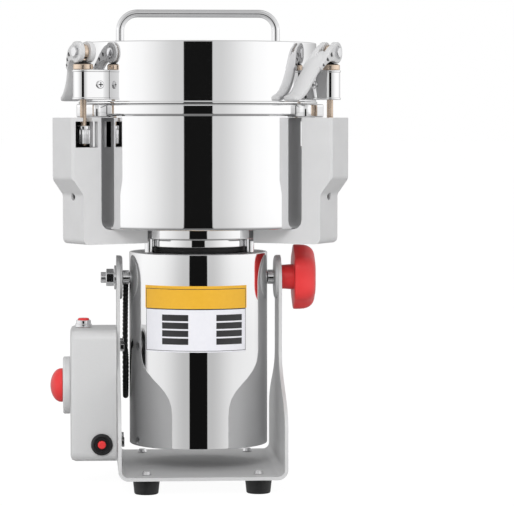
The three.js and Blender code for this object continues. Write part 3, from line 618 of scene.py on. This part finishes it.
# Label round the housing's front: a yellow header and a white panel with blank dark bars.
def label_patch(name, look, from_degrees, to_degrees, low, high, lift):
    """A thin film on the housing between two azimuths, which run from the front to the right."""
    radius = radius_of("motor_housing")
    steps = max(2, round(abs(to_degrees - from_degrees)))
    rings = []
    for i in range(steps + 1):
        turn = math.radians(from_degrees + (to_degrees - from_degrees) * i / steps)
        out = Vector((math.sin(turn), -math.cos(turn), 0))
        near, far = AXIS + radius * out, AXIS + (radius + lift) * out
        up_low, up_high = Vector((0, 0, low)), Vector((0, 0, high))
        rings.append([near + up_low, far + up_low, far + up_high, near + up_high])
    made = lofted(name, rings)
    made.data.materials.append(looks[look])
    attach(made, body_of("motor_housing"))


def label_frame(name, start, end, low, high, line, lift):
    """A thin dark line round a part of the label."""
    wide = math.degrees(line / radius_of("motor_housing"))
    label_patch(name + "_low", "label_dark", start, end, low, low + line, lift)
    label_patch(name + "_high", "label_dark", start, end, high - line, high, lift)
    label_patch(name + "_left", "label_dark", start, start + wide, low, high, lift)
    label_patch(name + "_right", "label_dark", end - wide, end, low, high, lift)


def make_label():
    start, end = -51.3, 40.7
    low, high = 123 * MM, 182 * MM
    header_low = 161.7 * MM
    film = 0.12 * MM
    label_patch("label_header", "label_yellow", start, end, header_low, high, film)
    inset = 1.1
    left, right = start + inset, end - inset
    label_patch("label_panel", "label_white", left, right, low, header_low, film)
    raised = 1.5 * film
    line, rule = 0.45 * MM, 0.9 * MM
    label_frame("label_line", left, right, low + 1 * MM, high - 2.6 * MM, line, raised)
    label_patch("label_rule", "label_dark", left, right, header_low - rule, header_low, raised)
    columns = ((-33.4, -10.7), (12.2, 35.5))
    rows = 4
    first_top = 156.4 * MM
    pitch = 7 * MM
    bar = 5.6 * MM
    for column, (bar_start, bar_end) in enumerate(columns):
        for row in range(rows):
            name = "label_bar_%d_%d" % (column, row)
            top = first_top - row * pitch
            label_patch(name, "label_dark", bar_start, bar_end, top - bar, top, raised)


# Knobs, buttons and dial on the control box.
def along_x(centre, sign):
    """Places a piece turned about Z with its axis along X, upwards to sign times X."""
    return Matrix.Translation(centre) @ Matrix.Rotation(sign * QUARTER, 4, "Y")


def upright(node):
    """Places a piece drawn upwards on the middle of a node's underside."""
    low, _, middle = box_of(node)
    return Matrix.Translation((middle.x, middle.y, low.z))


def forward(node):
    """Places a piece drawn upwards on the middle of a node's back, with its top to the front."""
    _, high, middle = box_of(node)
    return Matrix.Translation((middle.x, high.y, middle.z)) @ Matrix.Rotation(QUARTER, 4, "X")


SKIRT_SHARE = 0.12  # of the dome's height, straight


def dome_corners(radius, height):
    """The outline of a dome on a low straight skirt, from its edge to its top."""
    steps = 24
    skirt = SKIRT_SHARE * height
    corners = []
    for i in range(steps):
        turn = QUARTER * i / steps
        corners.append((radius * math.cos(turn), skirt + (height - skirt) * math.sin(turn), 0))
    return corners + [(0, height, 0)]


def make_dial():
    low, high, middle = box_of("timer_plate")
    radius = (high.y - low.y) / 2
    thick = high.x - low.x
    face = thick - 0.7 * MM
    place = along_x(Vector((high.x, middle.y, middle.z)), -1)
    dress(turned("timer_plate_fine", [
        (0, 0, 0), (radius, 0, 0.4 * MM), (radius, thick, 1.8 * MM), (radius - 4 * MM, thick, 0.6 * MM),
        (radius - 5 * MM, face, 0.6 * MM), (0, face, 0),
    ], segments=96, place=place), "timer_plate")
    near, half = 17 * MM, 0.35 * MM
    mark_low, mark_high = thick - 0.9 * MM, thick - 0.55 * MM
    for i, degrees in enumerate(range(-150, 151, 30)):
        turn = place @ Matrix.Rotation(math.radians(degrees), 4, "Z")
        far = near + (3.6 * MM if i % 5 == 0 else 2.4 * MM)
        mark = plate("dial_mark_%d" % i, (near, -half, mark_low), (far, half, mark_high), 0.05 * MM, turn)
        add(mark, "black_plastic", "timer_plate")


def make_timer_knob():
    low, high, middle = box_of("timer_knob")
    radius = (high.y - low.y) / 2
    dome = 11.2 * MM
    place = along_x(Vector((low.x + dome, middle.y, middle.z)), -1)
    dress(turned("timer_knob_fine", [
        (0, 0, 0), (radius, 0, 0.5 * MM), *dome_corners(radius, dome),
    ], segments=96, place=place), "timer_knob")
    # The pointer is a strip over the dome.
    skirt = SKIRT_SHARE * dome
    half, sunk, proud, outside = 0.6 * MM, 0.4 * MM, 0.12 * MM, 1.004
    rings = []
    for degrees in range(8, 69, 5):
        turn = math.radians(degrees)
        reach, rise = radius * math.sin(turn), skirt + (dome - skirt) * math.cos(turn)
        rings.append([
            (reach, -half, rise - sunk), (reach, half, rise - sunk),
            (reach * outside, half, rise + proud), (reach * outside, -half, rise + proud),
        ])
    pointer = lofted("timer_knob_mark", rings, place @ Matrix.Rotation(QUARTER, 4, "Z"))
    add(pointer, "painted", "timer_knob")


def make_buttons():
    node = "power_button_ring"
    low, high, _ = box_of(node)
    tall = high.z - low.z
    bore, outer = 5.5 * MM, radius_of(node)
    neck = outer - 0.8 * MM
    dress(turned(node + "_fine", [
        (bore, 0, 0), (outer, 0, 0.3 * MM), (outer, tall * 0.45, 0.5 * MM), (neck, tall * 0.5, 0.3 * MM),
        (neck, tall, 0.9 * MM), (bore, tall, 0.4 * MM),
    ], segments=96, closed=True, place=upright(node)), node)
    node = "power_button"
    low, high, _ = box_of(node)
    radius, tall = radius_of(node), high.z - low.z
    dress(turned(node + "_fine", [
        (0, 0, 0), (radius, 0, 0.3 * MM), (radius, tall, 1.2 * MM), (0, tall, 0),
    ], segments=64, place=upright(node)), node)
    node = "reset_bezel"
    low, high, _ = box_of(node)
    thick = high.y - low.y
    groove = thick - 1.2 * MM
    bore, outer = 4 * MM, radius_of(node)
    dress(turned(node + "_fine", [
        (bore, 0, 0), (outer, 0, 0.3 * MM), (outer, thick * 0.5, 0.8 * MM), (outer - 2 * MM, thick, 1 * MM),
        (7 * MM, thick, 0.3 * MM), (6.6 * MM, groove, 0.3 * MM), (bore + 1.2 * MM, groove, 0.3 * MM),
        (bore + 0.8 * MM, thick, 0.3 * MM), (bore, thick, 0.3 * MM),
    ], segments=96, closed=True, place=forward(node)), node)
    node = "reset_button"
    low, high, _ = box_of(node)
    radius, thick = radius_of(node), high.y - low.y
    dress(turned(node + "_fine", [
        (0, 0, 0), (radius, 0, 0.3 * MM), (radius, thick, 1.4 * MM), (0, thick, 0),
    ], segments=64, steps=8, place=forward(node)), node)


def make_feet():
    for corner in CORNER_NAMES:
        node = "foot_" + corner
        low, high, _ = box_of(node)
        radius, tall = radius_of(node), high.z - low.z
        dress(turned(node + "_fine", [
            (0, 0, 0), (radius * 0.88, 0, 1.6 * MM), (radius, tall, 0.8 * MM), (0, tall, 0),
        ], segments=64, place=upright(node)), node)


# Lock knob: six soft lobes on a hub.
def make_lock_knob():
    low, high, middle = box_of("lock_knob")
    radius = (high.y - low.y) / 2
    thick = 19.4 * MM
    inner = high.x - thick
    lobes = 6
    lobe = 2.4 * MM
    count = 180
    # From the hub outwards: the share of the thickness and that of the radius.
    profile = (
        (0, 0.35), (0, 0.97), (0.015, 0.99), (0.05, 1), (0.3, 1), (0.5, 0.99), (0.65, 0.965),
        (0.77, 0.925), (0.87, 0.87), (0.94, 0.8), (0.985, 0.72), (1, 0.63), (1, 0.3), (0.96, 0.26),
    )
    rings = []
    for height, share in profile:
        ring = []
        for i in range(count):
            turn = 2 * math.pi * i / count
            dip = lobe * (1 + math.cos(lobes * turn)) / 2
            reach = (radius - dip) * share
            across = inner + thick * height
            ring.append((across, middle.y + reach * math.cos(turn), middle.z + reach * math.sin(turn)))
        rings.append(ring)
    dress(lofted("lock_knob_fine", rings, crease=60), "lock_knob")
    start = Vector((inner - 11.5 * MM, middle.y, middle.z))
    narrow, wide, long = 10.8 * MM, 11.6 * MM, 11.8 * MM
    add(turned("lock_knob_hub", [
        (0, 0, 0), (narrow, 0, 1.6 * MM), (wide, long, 0), (0, long, 0),
    ], segments=64, place=along_x(start, 1)), "red_plastic", "lock_knob")


# Motor lead: a slack loop with a spiral wrap, from the hole in the left upright to the left pivot.
def make_lead():
    box_x, hole_x, side = AXIS.x - 80.5 * MM, AXIS.x - 71.5 * MM, AXIS.x - 65.8 * MM
    exit_z, pivot_z = 125.6 * MM, 186.4 * MM
    points = [
        Vector((box_x, AXIS.y, exit_z)), Vector((hole_x, AXIS.y, exit_z)),
        Vector((side - 1.3 * MM, AXIS.y, exit_z - 2.6 * MM)),
    ]
    # The loop beside the housing: how far back and up, as shares of its size.
    loop = 60.8 * MM
    shares = (
        (0.02, -0.24), (0.16, -0.6), (0.46, -0.82), (0.78, -0.68), (0.86, -0.26), (0.72, 0.2), (0.44, 0.56),
    )
    points += [Vector((side, AXIS.y + back * loop, exit_z + up * loop)) for back, up in shares]
    end, turn = 6.9 * MM, math.radians(-50)
    points.append(Vector((side, AXIS.y + end * math.cos(turn), pivot_z + end * math.sin(turn))))
    path = smooth_path(points, 40)
    spacing = sum((b - a).length for a, b in zip(path, path[1:])) / (len(path) - 1)
    pitch = 3.4 * MM
    core, wrap = 2.1 * MM, 0.5 * MM
    wrap_share = 0.8  # of the pitch, the rest being a gap

    def wrapped(i, turn_here):
        phase = (i * spacing / pitch - turn_here / (2 * math.pi)) % 1
        return core + wrap * math.sin(math.pi * min(1, phase / wrap_share)) ** 0.4

    dress(tube("motor_lead_fine", path, wrapped, 20), "motor_lead")


# Clamps, drawn along X from the axis and turned into their three places.
BOLT = 126.4 * MM  # from the axis out to the eye bolt
OFFSET = 11 * MM  # of the eye bolt to the side
PIN = 388.7 * MM  # the lever pin's height
LUG_LOW, LUG_HIGH = 347.0 * MM, 373.2 * MM
LUG_HALF = 9 * MM
NUT_LOW, NUT_HIGH = 308.1 * MM, 324.2 * MM


def on_bolt(i):
    """Places a piece of clamp i round its eye bolt."""
    return ring_turn(i) @ Matrix.Translation((BOLT, OFFSET, 0))


def on_pin(i, sign):
    """Places a piece of clamp i round its lever pin, upwards to sign times outwards."""
    return ring_turn(i) @ Matrix.Translation((BOLT, OFFSET, PIN)) @ Matrix.Rotation(sign * QUARTER, 4, "Y")


def lug_outline(grow):
    """A lug from above: hollow where it meets the lid and round about its bolt."""
    half = LUG_HALF + grow
    seat = 107.3 * MM
    seat_steps, round_steps = 6, 24
    points = []
    for i in range(seat_steps + 1):
        y = OFFSET + half - 2 * half * i / seat_steps
        points.append((math.sqrt(seat * seat - y * y), y))
    for i in range(round_steps + 1):
        turn = math.radians(-90 + 180 * i / round_steps)
        points.append((BOLT + half * math.cos(turn), OFFSET + half * math.sin(turn)))
    return points


def cross_screw(name, place, radius, node):
    """A pan head with a cross recess, its face upwards in place. The recess is a black cross of painted
    shade.
    """
    head = 1.5 * MM
    add(turned(name, [
        (0, 0, 0), (radius, 0, 0.1 * MM), (radius, head, 1.1 * MM), (0, head, 0),
    ], 40, place=place), "chrome", node)
    # Painted shade: a black cross on the head stands for the shade in the recess.
    arm_long, arm_half = radius * 0.62, radius * 0.13
    low, high = head - 0.4 * MM, head + 0.03 * MM
    bars = [
        plate(name + "_a", (-arm_long, -arm_half, low), (arm_long, arm_half, high), 0, place),
        plate(name + "_b", (-arm_half, -arm_long, low), (arm_half, arm_long, high), 0, place),
    ]
    add(joined(name + "_cross_shade", bars), "black_plastic", node)


def make_lug(i, name):
    turn = ring_turn(i)
    node = "lid_lug_" + name
    flange = 2 * MM
    grow, edge = 0.6 * MM, 0.5 * MM
    parts = [
        slab(node + "_a", lug_outline(0), LUG_LOW + flange, LUG_HIGH - flange, 0, turn),
        slab(node + "_b", lug_outline(grow), LUG_LOW, LUG_LOW + flange, edge, turn),
        slab(node + "_c", lug_outline(grow), LUG_HIGH - flange, LUG_HIGH, edge, turn),
    ]
    dress(joined(node + "_fine", parts), node)
    across = 114.6 * MM
    middle = (LUG_LOW + LUG_HIGH) / 2
    for side, sign in (("a", 1), ("b", -1)):
        place = turn @ Matrix.Translation((across, OFFSET + sign * LUG_HALF, middle))
        place = place @ Matrix.Rotation(-sign * QUARTER, 4, "X")
        cross_screw("lug_screw_%s_%s" % (name, side), place, 3.6 * MM, node)


def make_eye_bolt(i, name):
    node = "eye_bolt_" + name
    low, high = NUT_LOW - 1 * MM, LUG_LOW + 6 * MM
    radius = 3 * MM
    pitch = 1.25 * MM
    depth = 0.35 * MM
    rings_a_turn = 6
    count = round((high - low) / pitch) * rings_a_turn
    path = [Vector((BOLT, OFFSET, low + k * pitch / rings_a_turn)) for k in range(count)]

    def thread(k, turn_here):
        phase = (k / rings_a_turn - turn_here / (2 * math.pi)) % 1
        return radius - depth * abs(2 * phase - 1)

    shank = tube(node + "_a", path, thread, 20)
    shank.data.transform(ring_turn(i))
    neck_low, neck_high = LUG_HIGH - 8 * MM, PIN - 6 * MM
    neck = turned(node + "_b", [
        (0, neck_low, 0), (radius, neck_low, 0), (radius, neck_high, 0), (0, neck_high, 0),
    ], 32, place=on_bolt(i))
    half = 2.7 * MM
    hole, eye = 3.5 * MM, 6.8 * MM
    ring = turned(node + "_c", [
        (hole, -half, 0.5 * MM), (eye, -half, 1.7 * MM), (eye, half, 1.7 * MM), (hole, half, 0.5 * MM),
    ], 64, closed=True, place=on_pin(i, 1))
    dress(joined(node + "_fine", [shank, neck, ring]), node)


def make_washer(i, name):
    """The washer on a lug, and a painted shadow between it and the eye: a black cone where there is only
    shade.
    """
    node = "clamp_washer_" + name
    hole, radius = 3.4 * MM, 8.8 * MM
    low = LUG_HIGH + 0.3 * MM
    high = low + 4.5 * MM
    dress(turned(node + "_fine", [
        (hole, low, 0), (radius, low, 0.5 * MM), (radius, high, 0.6 * MM), (hole, high, 0),
    ], 64, closed=True, place=on_bolt(i)), node)
    # Painted shadow: a black cone in the gap under the eye.
    seat, seat_high = 3.2 * MM, PIN - 6.2 * MM
    add(turned("clamp_gap_shade_" + name, [
        (seat, high, 0), (8 * MM, high, 0.1 * MM), (6.4 * MM, high + 1 * MM, 0.4 * MM),
        (seat, high + 1.2 * MM, 1 * MM), (2.9 * MM, seat_high, 0), (2.4 * MM, seat_high, 0),
    ], 48, closed=True, place=on_bolt(i)), "black_plastic", node)


def make_nut(i, name):
    node = "tension_nut_" + name
    flutes = 14
    radius, depth = 6.5 * MM, 0.55 * MM
    steps = flutes * 10
    outline = []
    for k in range(steps):
        turn = 2 * math.pi * k / steps
        reach = radius - depth * abs(math.sin(flutes * turn / 2)) ** 3
        outline.append((reach * math.cos(turn), reach * math.sin(turn)))
    collar = NUT_HIGH - 3 * MM
    body = slab(node + "_a", outline, NUT_LOW, collar - 0.4 * MM, 0.5 * MM, on_bolt(i))
    neck, rim, neck_low = 5.6 * MM, 6.6 * MM, collar - 0.6 * MM
    top = turned(node + "_b", [
        (0, neck_low, 0), (neck, neck_low, 0), (neck, collar, 0.1 * MM),
        (rim, collar, 0.3 * MM), (rim, NUT_HIGH, 0.7 * MM), (0, NUT_HIGH, 0),
    ], 64, place=on_bolt(i))
    dress(joined(node + "_fine", [body, top]), node)


# Levers. A share runs from 0 at the pin to 1 just beyond the tip.
PRONG_FIRST, PRONG_SPAN = 0.02, 0.4
STRAP_FIRST, STRAP_LAST = 0.2, 0.95
# The holes in a lever's sides, each a black disc of painted shade for its shaded inside: share, way up and
# radius, the last two in millimetres.
LEVER_HOLE_SHADES = ((0.2, 0.6, 2.0), (0.29, 0.1, 1.8), (0.37, 0, 1.5), (0.66, 0, 1.3))


def smoother(share):
    """A rise from 0 to 1 that starts and ends level."""
    share = min(1, max(0, share))
    return share ** 3 * (share * (share * 6 - 15) + 10)


def lever_place(share):
    """A place along the lever, which follows the lid round and drops in one long S."""
    sweep, drop, end_radius = math.radians(26), 41 * MM, 117.6 * MM
    turn = math.atan2(OFFSET, BOLT) - sweep * share
    radius = BOLT - (BOLT - end_radius) * smoother(share / 0.7)
    return Vector((radius * math.cos(turn), radius * math.sin(turn), PIN - drop * smoother(share)))


def lever_axes(share):
    """The place, the way outwards and the way up across the lever."""
    here = lever_place(share)
    along = lever_place(share + 0.01) - lever_place(share - 0.01)
    outward = Vector((here.x, here.y, 0)).normalized()
    return here, outward, along.normalized().cross(outward).normalized()


def strap_half(share):
    return (8 + share) * MM


def lever_strap(name, place):
    """The handle's broad strap: a shallow roof with rounded sides and a round tip."""
    steps = 60
    sides = 36
    thick = 4.6 * MM
    ridge = 1.8 * MM
    tip, blunt = 0.05, 0.0001  # shares of the lever
    rings = []
    for i in range(steps + 1):
        share = STRAP_FIRST + (STRAP_LAST - STRAP_FIRST) * i / steps
        here, outward, normal = lever_axes(share)
        close = min(1, (STRAP_LAST + blunt - share) / tip)
        fade = math.sqrt(1 - (1 - close) ** 2)
        width = 2 * strap_half(share) * (0.6 + 0.4 * fade)
        ring = []
        for k in range(sides):
            turn = 2 * math.pi * k / sides
            c, s = math.cos(turn), math.sin(turn)
            across = 0.5 * math.copysign(abs(c) ** 0.4, c)
            up = 0.5 * math.copysign(abs(s) ** 0.5, s) * thick * fade
            if s > 0:
                up += ridge * (1 - abs(2 * across)) * fade
            ring.append(here + outward * across * width + normal * up)
        rings.append(ring)
    return lofted(name, rings, place, 60)


def lever_prong(name, place, sign):
    """One of the two prongs that join the cheeks to the strap."""
    steps = 24
    soft = 0.9 * MM
    rings = []
    for i in range(steps + 1):
        here, outward, normal = lever_axes(PRONG_FIRST + PRONG_SPAN * i / steps)
        taper = smoother(i / steps)
        up = (7.4 - 5.2 * taper) * MM
        down = (8.2 - 5.6 * taper) * MM
        near, far = sign * 3.05 * MM, sign * (8 + 1.4 * taper) * MM
        outline = filleted([
            (near, -down, 0), (far, -down, soft), (far, up, soft), (near, up, soft),
        ], 3)
        ring = [here + outward * x + normal * y for x, y in outline]
        rings.append(ring[::sign])
    return lofted(name, rings, place, 40)


def make_lever(i, name):
    turn = ring_turn(i)
    node = "clamp_lever_" + name
    near, far = 3 * MM, 8 * MM
    hole, radius = 3.2 * MM, 9.4 * MM
    sunk = far - 0.7 * MM
    parts = [lever_strap(node + "_a", turn)]
    for tag, sign in (("b", 1), ("c", -1)):
        parts.append(lever_prong(node + "_" + tag, turn, sign))
        parts.append(turned(node + "_disc_" + tag, [
            (hole, near, 0), (radius, near, 0.6 * MM), (radius, far, 1 * MM), (6 * MM, far, 0.2 * MM),
            (5.6 * MM, sunk, 0.2 * MM), (hole, sunk, 0),
        ], 72, closed=True, place=on_pin(i, sign)))
    dress(joined(node + "_fine", parts), node)
    deep, proud = -1 * MM, 0.02 * MM
    for tag, sign in (("a", 1), ("b", -1)):
        for k, (share, lift, size) in enumerate(LEVER_HOLE_SHADES):
            here, outward, normal = lever_axes(share)
            reach = strap_half(share)
            if share < PRONG_SPAN:
                reach = (8.45 + 1.4 * smoother((share - PRONG_FIRST) / PRONG_SPAN)) * MM
            centre = here + outward * sign * (reach - 0.35 * MM) + normal * lift * MM
            turned_out = (outward * sign).to_track_quat("Z", "X").to_matrix().to_4x4()
            # Painted shade: a black disc on the side stands for the shade inside the hole.
            add(turned("lever_hole_%s_%s_%d" % (name, tag, k), [
                (0, deep, 0), (size * MM, deep, 0), (size * MM, proud, 0), (0, proud, 0),
            ], 28, place=turn @ Matrix.Translation(centre) @ turned_out), "black_plastic", node)


def make_pin(i, name):
    node = "lever_pin_" + name
    radius, head = 2.9 * MM, 4.6 * MM
    head_start = 7.6 * MM
    parts = []
    for tag, sign in (("a", 1), ("b", -1)):
        parts.append(turned(node + "_" + tag, [
            (0, 0, 0), (radius, 0, 0), (radius, head_start, 0), (head, head_start, 0.2 * MM),
            (head, 10 * MM, 2 * MM), (0, 10.1 * MM, 0),
        ], 48, steps=8, place=on_pin(i, sign)))
    dress(joined(node + "_fine", parts), node)


def make_arm_details(i, name):
    """Black sheets of painted shade inside an arm's nut pocket, and the socket screw low on the arm."""
    turn = ring_turn(i)
    node = "arm_" + name
    near, far = 116.1 * MM, 138.3 * MM
    back, front = -14.9 * MM, 18.2 * MM
    low, high = 305.2 * MM, 327.7 * MM
    skin = 0.3 * MM
    roof_end, wall_end = 6 * MM, 4.2 * MM
    walls = (
        ((near, back, low), (far, back + skin, high)),
        ((far - skin, back, low), (far, front, high)),
        ((near, back, low), (far, front, low + skin)),
        ((near, back, high - skin), (far, roof_end, high)),
        ((near, back, low), (near + skin, wall_end, high)),
    )
    # Painted shade: thin black sheets line the pocket, whose inside is only in shade.
    parts = [plate("%s_p%d" % (node, k), start, end, 0, turn) for k, (start, end) in enumerate(walls, 1)]
    add(joined("arm_pocket_" + name, parts), "black_plastic", node)
    socket = turn @ Matrix.Translation((126.2 * MM, 0, 261.6 * MM)) @ Matrix.Rotation(QUARTER, 4, "Y")
    radius, hole = 3 * MM, 1.5 * MM
    head, bottom = 2.6 * MM, 1.2 * MM
    add(turned("arm_screw_" + name, [
        (0, 0, 0), (radius, 0, 0), (radius, head, 0.5 * MM), (hole, head, 0.2 * MM),
        (hole, bottom, 0), (0, bottom, 0),
    ], 36, place=socket), "black_plastic", node)


# Pieces that keep their node's own form, and the width of their rounded edges in millimetres.
EDGE_OF = {
    "stand_frame": 0.9, "control_box": 1.1,
    "arm_left": 1.1, "arm_right": 1.1, "arm_back": 1.1,
    "blade_lower": 0.3, "blade_upper": 0.3, "blade_top": 0.3, "spindle": 0.4,
    "pivot_bolt_left": 0.5, "pivot_washer_left": 0.3, "pivot_spacer_left": 0.3, "pivot_spacer_right": 0.3,
    "motor": 0.6, "motor_top_plate": 0.4,
}
for corner_name in CORNER_NAMES:
    EDGE_OF["foot_screw_" + corner_name] = 0.3
for screw_number in range(1, 5):
    EDGE_OF["box_screw_%d" % screw_number] = 0.3


# Studio: a pale floor, soft lamps, and a white surround with a dark stripe that only polished metal shows.
def make_floor():
    grey, glow_strength, glow_share = 0.85, 1.07, 0.9
    shape = bmesh.new()
    bmesh.ops.create_grid(shape, x_segments=1, y_segments=1, size=FLOOR_SIZE / 2)
    floor = finish_mesh("floor", shape)
    floor.location.z = FLOOR
    floor.visible_glossy = False
    look = bpy.data.materials.new("floor")
    look.use_nodes = True
    nodes, links = look.node_tree.nodes, look.node_tree.links
    diffuse = nodes.new("ShaderNodeBsdfDiffuse")
    diffuse.inputs["Color"].default_value = (grey, grey, grey, 1)
    glow = nodes.new("ShaderNodeEmission")
    glow.inputs["Strength"].default_value = glow_strength
    path = nodes.new("ShaderNodeLightPath")
    share = nodes.new("ShaderNodeMath")
    share.operation = "MULTIPLY"
    share.inputs[1].default_value = glow_share
    mix = nodes.new("ShaderNodeMixShader")
    links.new(path.outputs["Is Camera Ray"], share.inputs[0])
    links.new(share.outputs[0], mix.inputs["Fac"])
    links.new(diffuse.outputs[0], mix.inputs[1])
    links.new(glow.outputs[0], mix.inputs[2])
    links.new(mix.outputs[0], nodes["Material Output"].inputs["Surface"])
    floor.data.materials.append(look)


def make_world():
    world = bpy.data.worlds.new("studio")
    bpy.context.scene.world = world
    world.use_nodes = True
    nodes, links = world.node_tree.nodes, world.node_tree.links
    nodes.clear()

    def ramp(value, whole, stops):
        """Greys through (degrees, grey) stops. The value's 0 to 1 stands for 0 to whole degrees."""
        node = nodes.new("ShaderNodeValToRGB")
        links.new(value, node.inputs[0])
        elements = node.color_ramp.elements
        while len(elements) < len(stops):
            elements.new(0.5)
        for element, (degrees, grey) in zip(elements, stops):
            element.position = degrees / whole
            element.color = (grey, grey, grey, 1)
        return node.outputs["Color"]

    def blend(first, second):
        node = nodes.new("ShaderNodeMix")
        node.data_type = "RGBA"
        links.new(first, node.inputs["A"])
        links.new(second, node.inputs["B"])
        return node

    def plain_white():
        node = nodes.new("ShaderNodeBackground")
        node.inputs["Color"].default_value = (1, 1, 1, 1)
        return node

    def chosen(share, otherwise, then):
        node = nodes.new("ShaderNodeMixShader")
        links.new(share, node.inputs["Fac"])
        links.new(otherwise, node.inputs[1])
        links.new(then, node.inputs[2])
        return node.outputs[0]

    def maths(operation, first, second=None):
        node = nodes.new("ShaderNodeMath")
        node.operation = operation
        for socket, value in zip(node.inputs, (first, second)):
            if isinstance(value, (int, float)):
                socket.default_value = value
            elif value is not None:
                links.new(value, socket)
        return node.outputs[0]

    def spread(value, start, end, low, high):
        node = nodes.new("ShaderNodeMapRange")
        links.new(value, node.inputs["Value"])
        for socket, number in zip(("From Min", "From Max", "To Min", "To Max"), (start, end, low, high)):
            node.inputs[socket].default_value = number
        return node.outputs["Result"]

    place = nodes.new("ShaderNodeTexCoord")
    parts = nodes.new("ShaderNodeSeparateXYZ")
    links.new(place.outputs["Generated"], parts.inputs[0])
    turn = maths("ARCTAN2", parts.outputs["X"], maths("MULTIPLY", parts.outputs["Y"], -1))
    climb = maths("ARCSINE", parts.outputs["Z"])

    # What polished metal mirrors, by the angle round from the camera's side. Low down the stripe is wider.
    narrow = spread(climb, math.radians(-3.3), math.radians(-2.2), 0.975, 1.055)
    away = maths("ABSOLUTE", maths("SUBTRACT", turn, math.radians(CAMERA_AZIMUTH)))
    round_share = maths("DIVIDE", maths("MULTIPLY", away, narrow), math.pi)
    level = ramp(round_share, 180, (
        (0, 0.006), (14.1, 0.006), (14.8, 0.52), (24, 0.535), (33, 0.6), (45, 0.715), (59, 0.82), (77, 0.87),
        (104, 0.9), (128, 0.76), (155, 0.5), (180, 0.35),
    ))
    steep = ramp(round_share, 180, ((0, 0.62), (30, 0.62), (62, 0.92), (130, 0.95), (180, 0.5)))

    # The stripe is only at the heights that upright walls mirror.
    off_level = maths("DIVIDE", maths("ABSOLUTE", maths("ADD", climb, math.radians(11))), QUARTER)
    mixed = blend(level, steep)
    links.new(ramp(off_level, 90, ((0, 0), (15, 0), (18, 1))), mixed.inputs["Factor"])

    # The surround's shade from straight below to straight above.
    shade = ramp(maths("ADD", maths("DIVIDE", climb, math.pi), 0.5), 180, (
        (0, 0.28), (48, 0.32), (78, 1.0), (97, 1.0), (104, 0.78), (140, 0.62), (180, 0.72),
    ))
    mirrored = blend(mixed.outputs["Result"], shade)
    mirrored.blend_type = "MULTIPLY"
    mirrored.inputs["Factor"].default_value = 1
    gloss = nodes.new("ShaderNodeBackground")
    links.new(mirrored.outputs["Result"], gloss.inputs["Color"])
    links.new(spread(climb, math.radians(-4.8), math.radians(-2), 1.0, 1.22), gloss.inputs["Strength"])

    # Other rays see a surround that is brighter in front, and the camera sees white.
    plain = plain_white()
    links.new(spread(parts.outputs["Y"], -1, 1, 0.85, 0.1), plain.inputs["Strength"])
    path = nodes.new("ShaderNodeLightPath")
    unseen = chosen(path.outputs["Is Glossy Ray"], plain.outputs[0], gloss.outputs[0])
    seen = chosen(path.outputs["Is Camera Ray"], unseen, plain_white().outputs[0])
    output = nodes.new("ShaderNodeOutputWorld")
    links.new(seen, output.inputs["Surface"])


def make_lamp(name, place, size, power):
    """A round lamp that lights the grinder's middle and isn't mirrored."""
    data = bpy.data.lights.new(name, "AREA")
    data.shape = "DISK"
    data.size = size
    data.energy = power
    lamp = linked(name, data)
    lamp.location = place
    aim = Vector((0, 0, 0.2)) - Vector(place)
    lamp.rotation_euler = aim.to_track_quat("-Z", "Y").to_euler()
    lamp.visible_glossy = False


def make_camera():
    data = bpy.data.cameras.new("camera")
    data.sensor_width = SENSOR
    data.lens = FOCAL_PIXELS / IMAGE_WIDTH * SENSOR
    data.clip_end = 100
    camera = linked("camera", data)
    turn = math.radians(CAMERA_AZIMUTH)
    back, side = CAMERA_BACK * math.cos(turn), CAMERA_BACK * math.sin(turn)
    camera.location = AXIS + Vector((side, -back, CAMERA_HEIGHT))
    yaw = math.atan((IMAGE_WIDTH / 2 - AXIS_PIXEL) / FOCAL_PIXELS)
    camera.rotation_euler = (QUARTER - math.radians(CAMERA_PITCH), 0, turn - yaw)
    bpy.context.scene.camera = camera


make_camera()
make_floor()
make_world()
make_lamp("key_lamp", (-0.55, -2.7, 1.6), 1.2, 38)
make_lamp("fill_lamp", (2.2, -1.9, 0.8), 1.4, 4)
make_lamp("top_lamp", (0.2, 0.6, 2.4), 1.6, 12)

make_lid()
make_bowl()
make_tabs()
make_handle()
make_seal()
make_housing()
make_rings()
make_label()
make_dial()
make_timer_knob()
make_buttons()
make_feet()
make_lock_knob()
make_lead()
for ring_index, ring_name in enumerate(RING_NAMES):
    make_lug(ring_index, ring_name)
    make_eye_bolt(ring_index, ring_name)
    make_washer(ring_index, ring_name)
    make_nut(ring_index, ring_name)
    make_lever(ring_index, ring_name)
    make_pin(ring_index, ring_name)
    make_arm_details(ring_index, ring_name)
for node_name, edge_mm in EDGE_OF.items():
    refine(node_name, edge_mm * MM)

bpy.context.scene.view_settings.view_transform = "Standard"

bpy.context.view_layer.update()
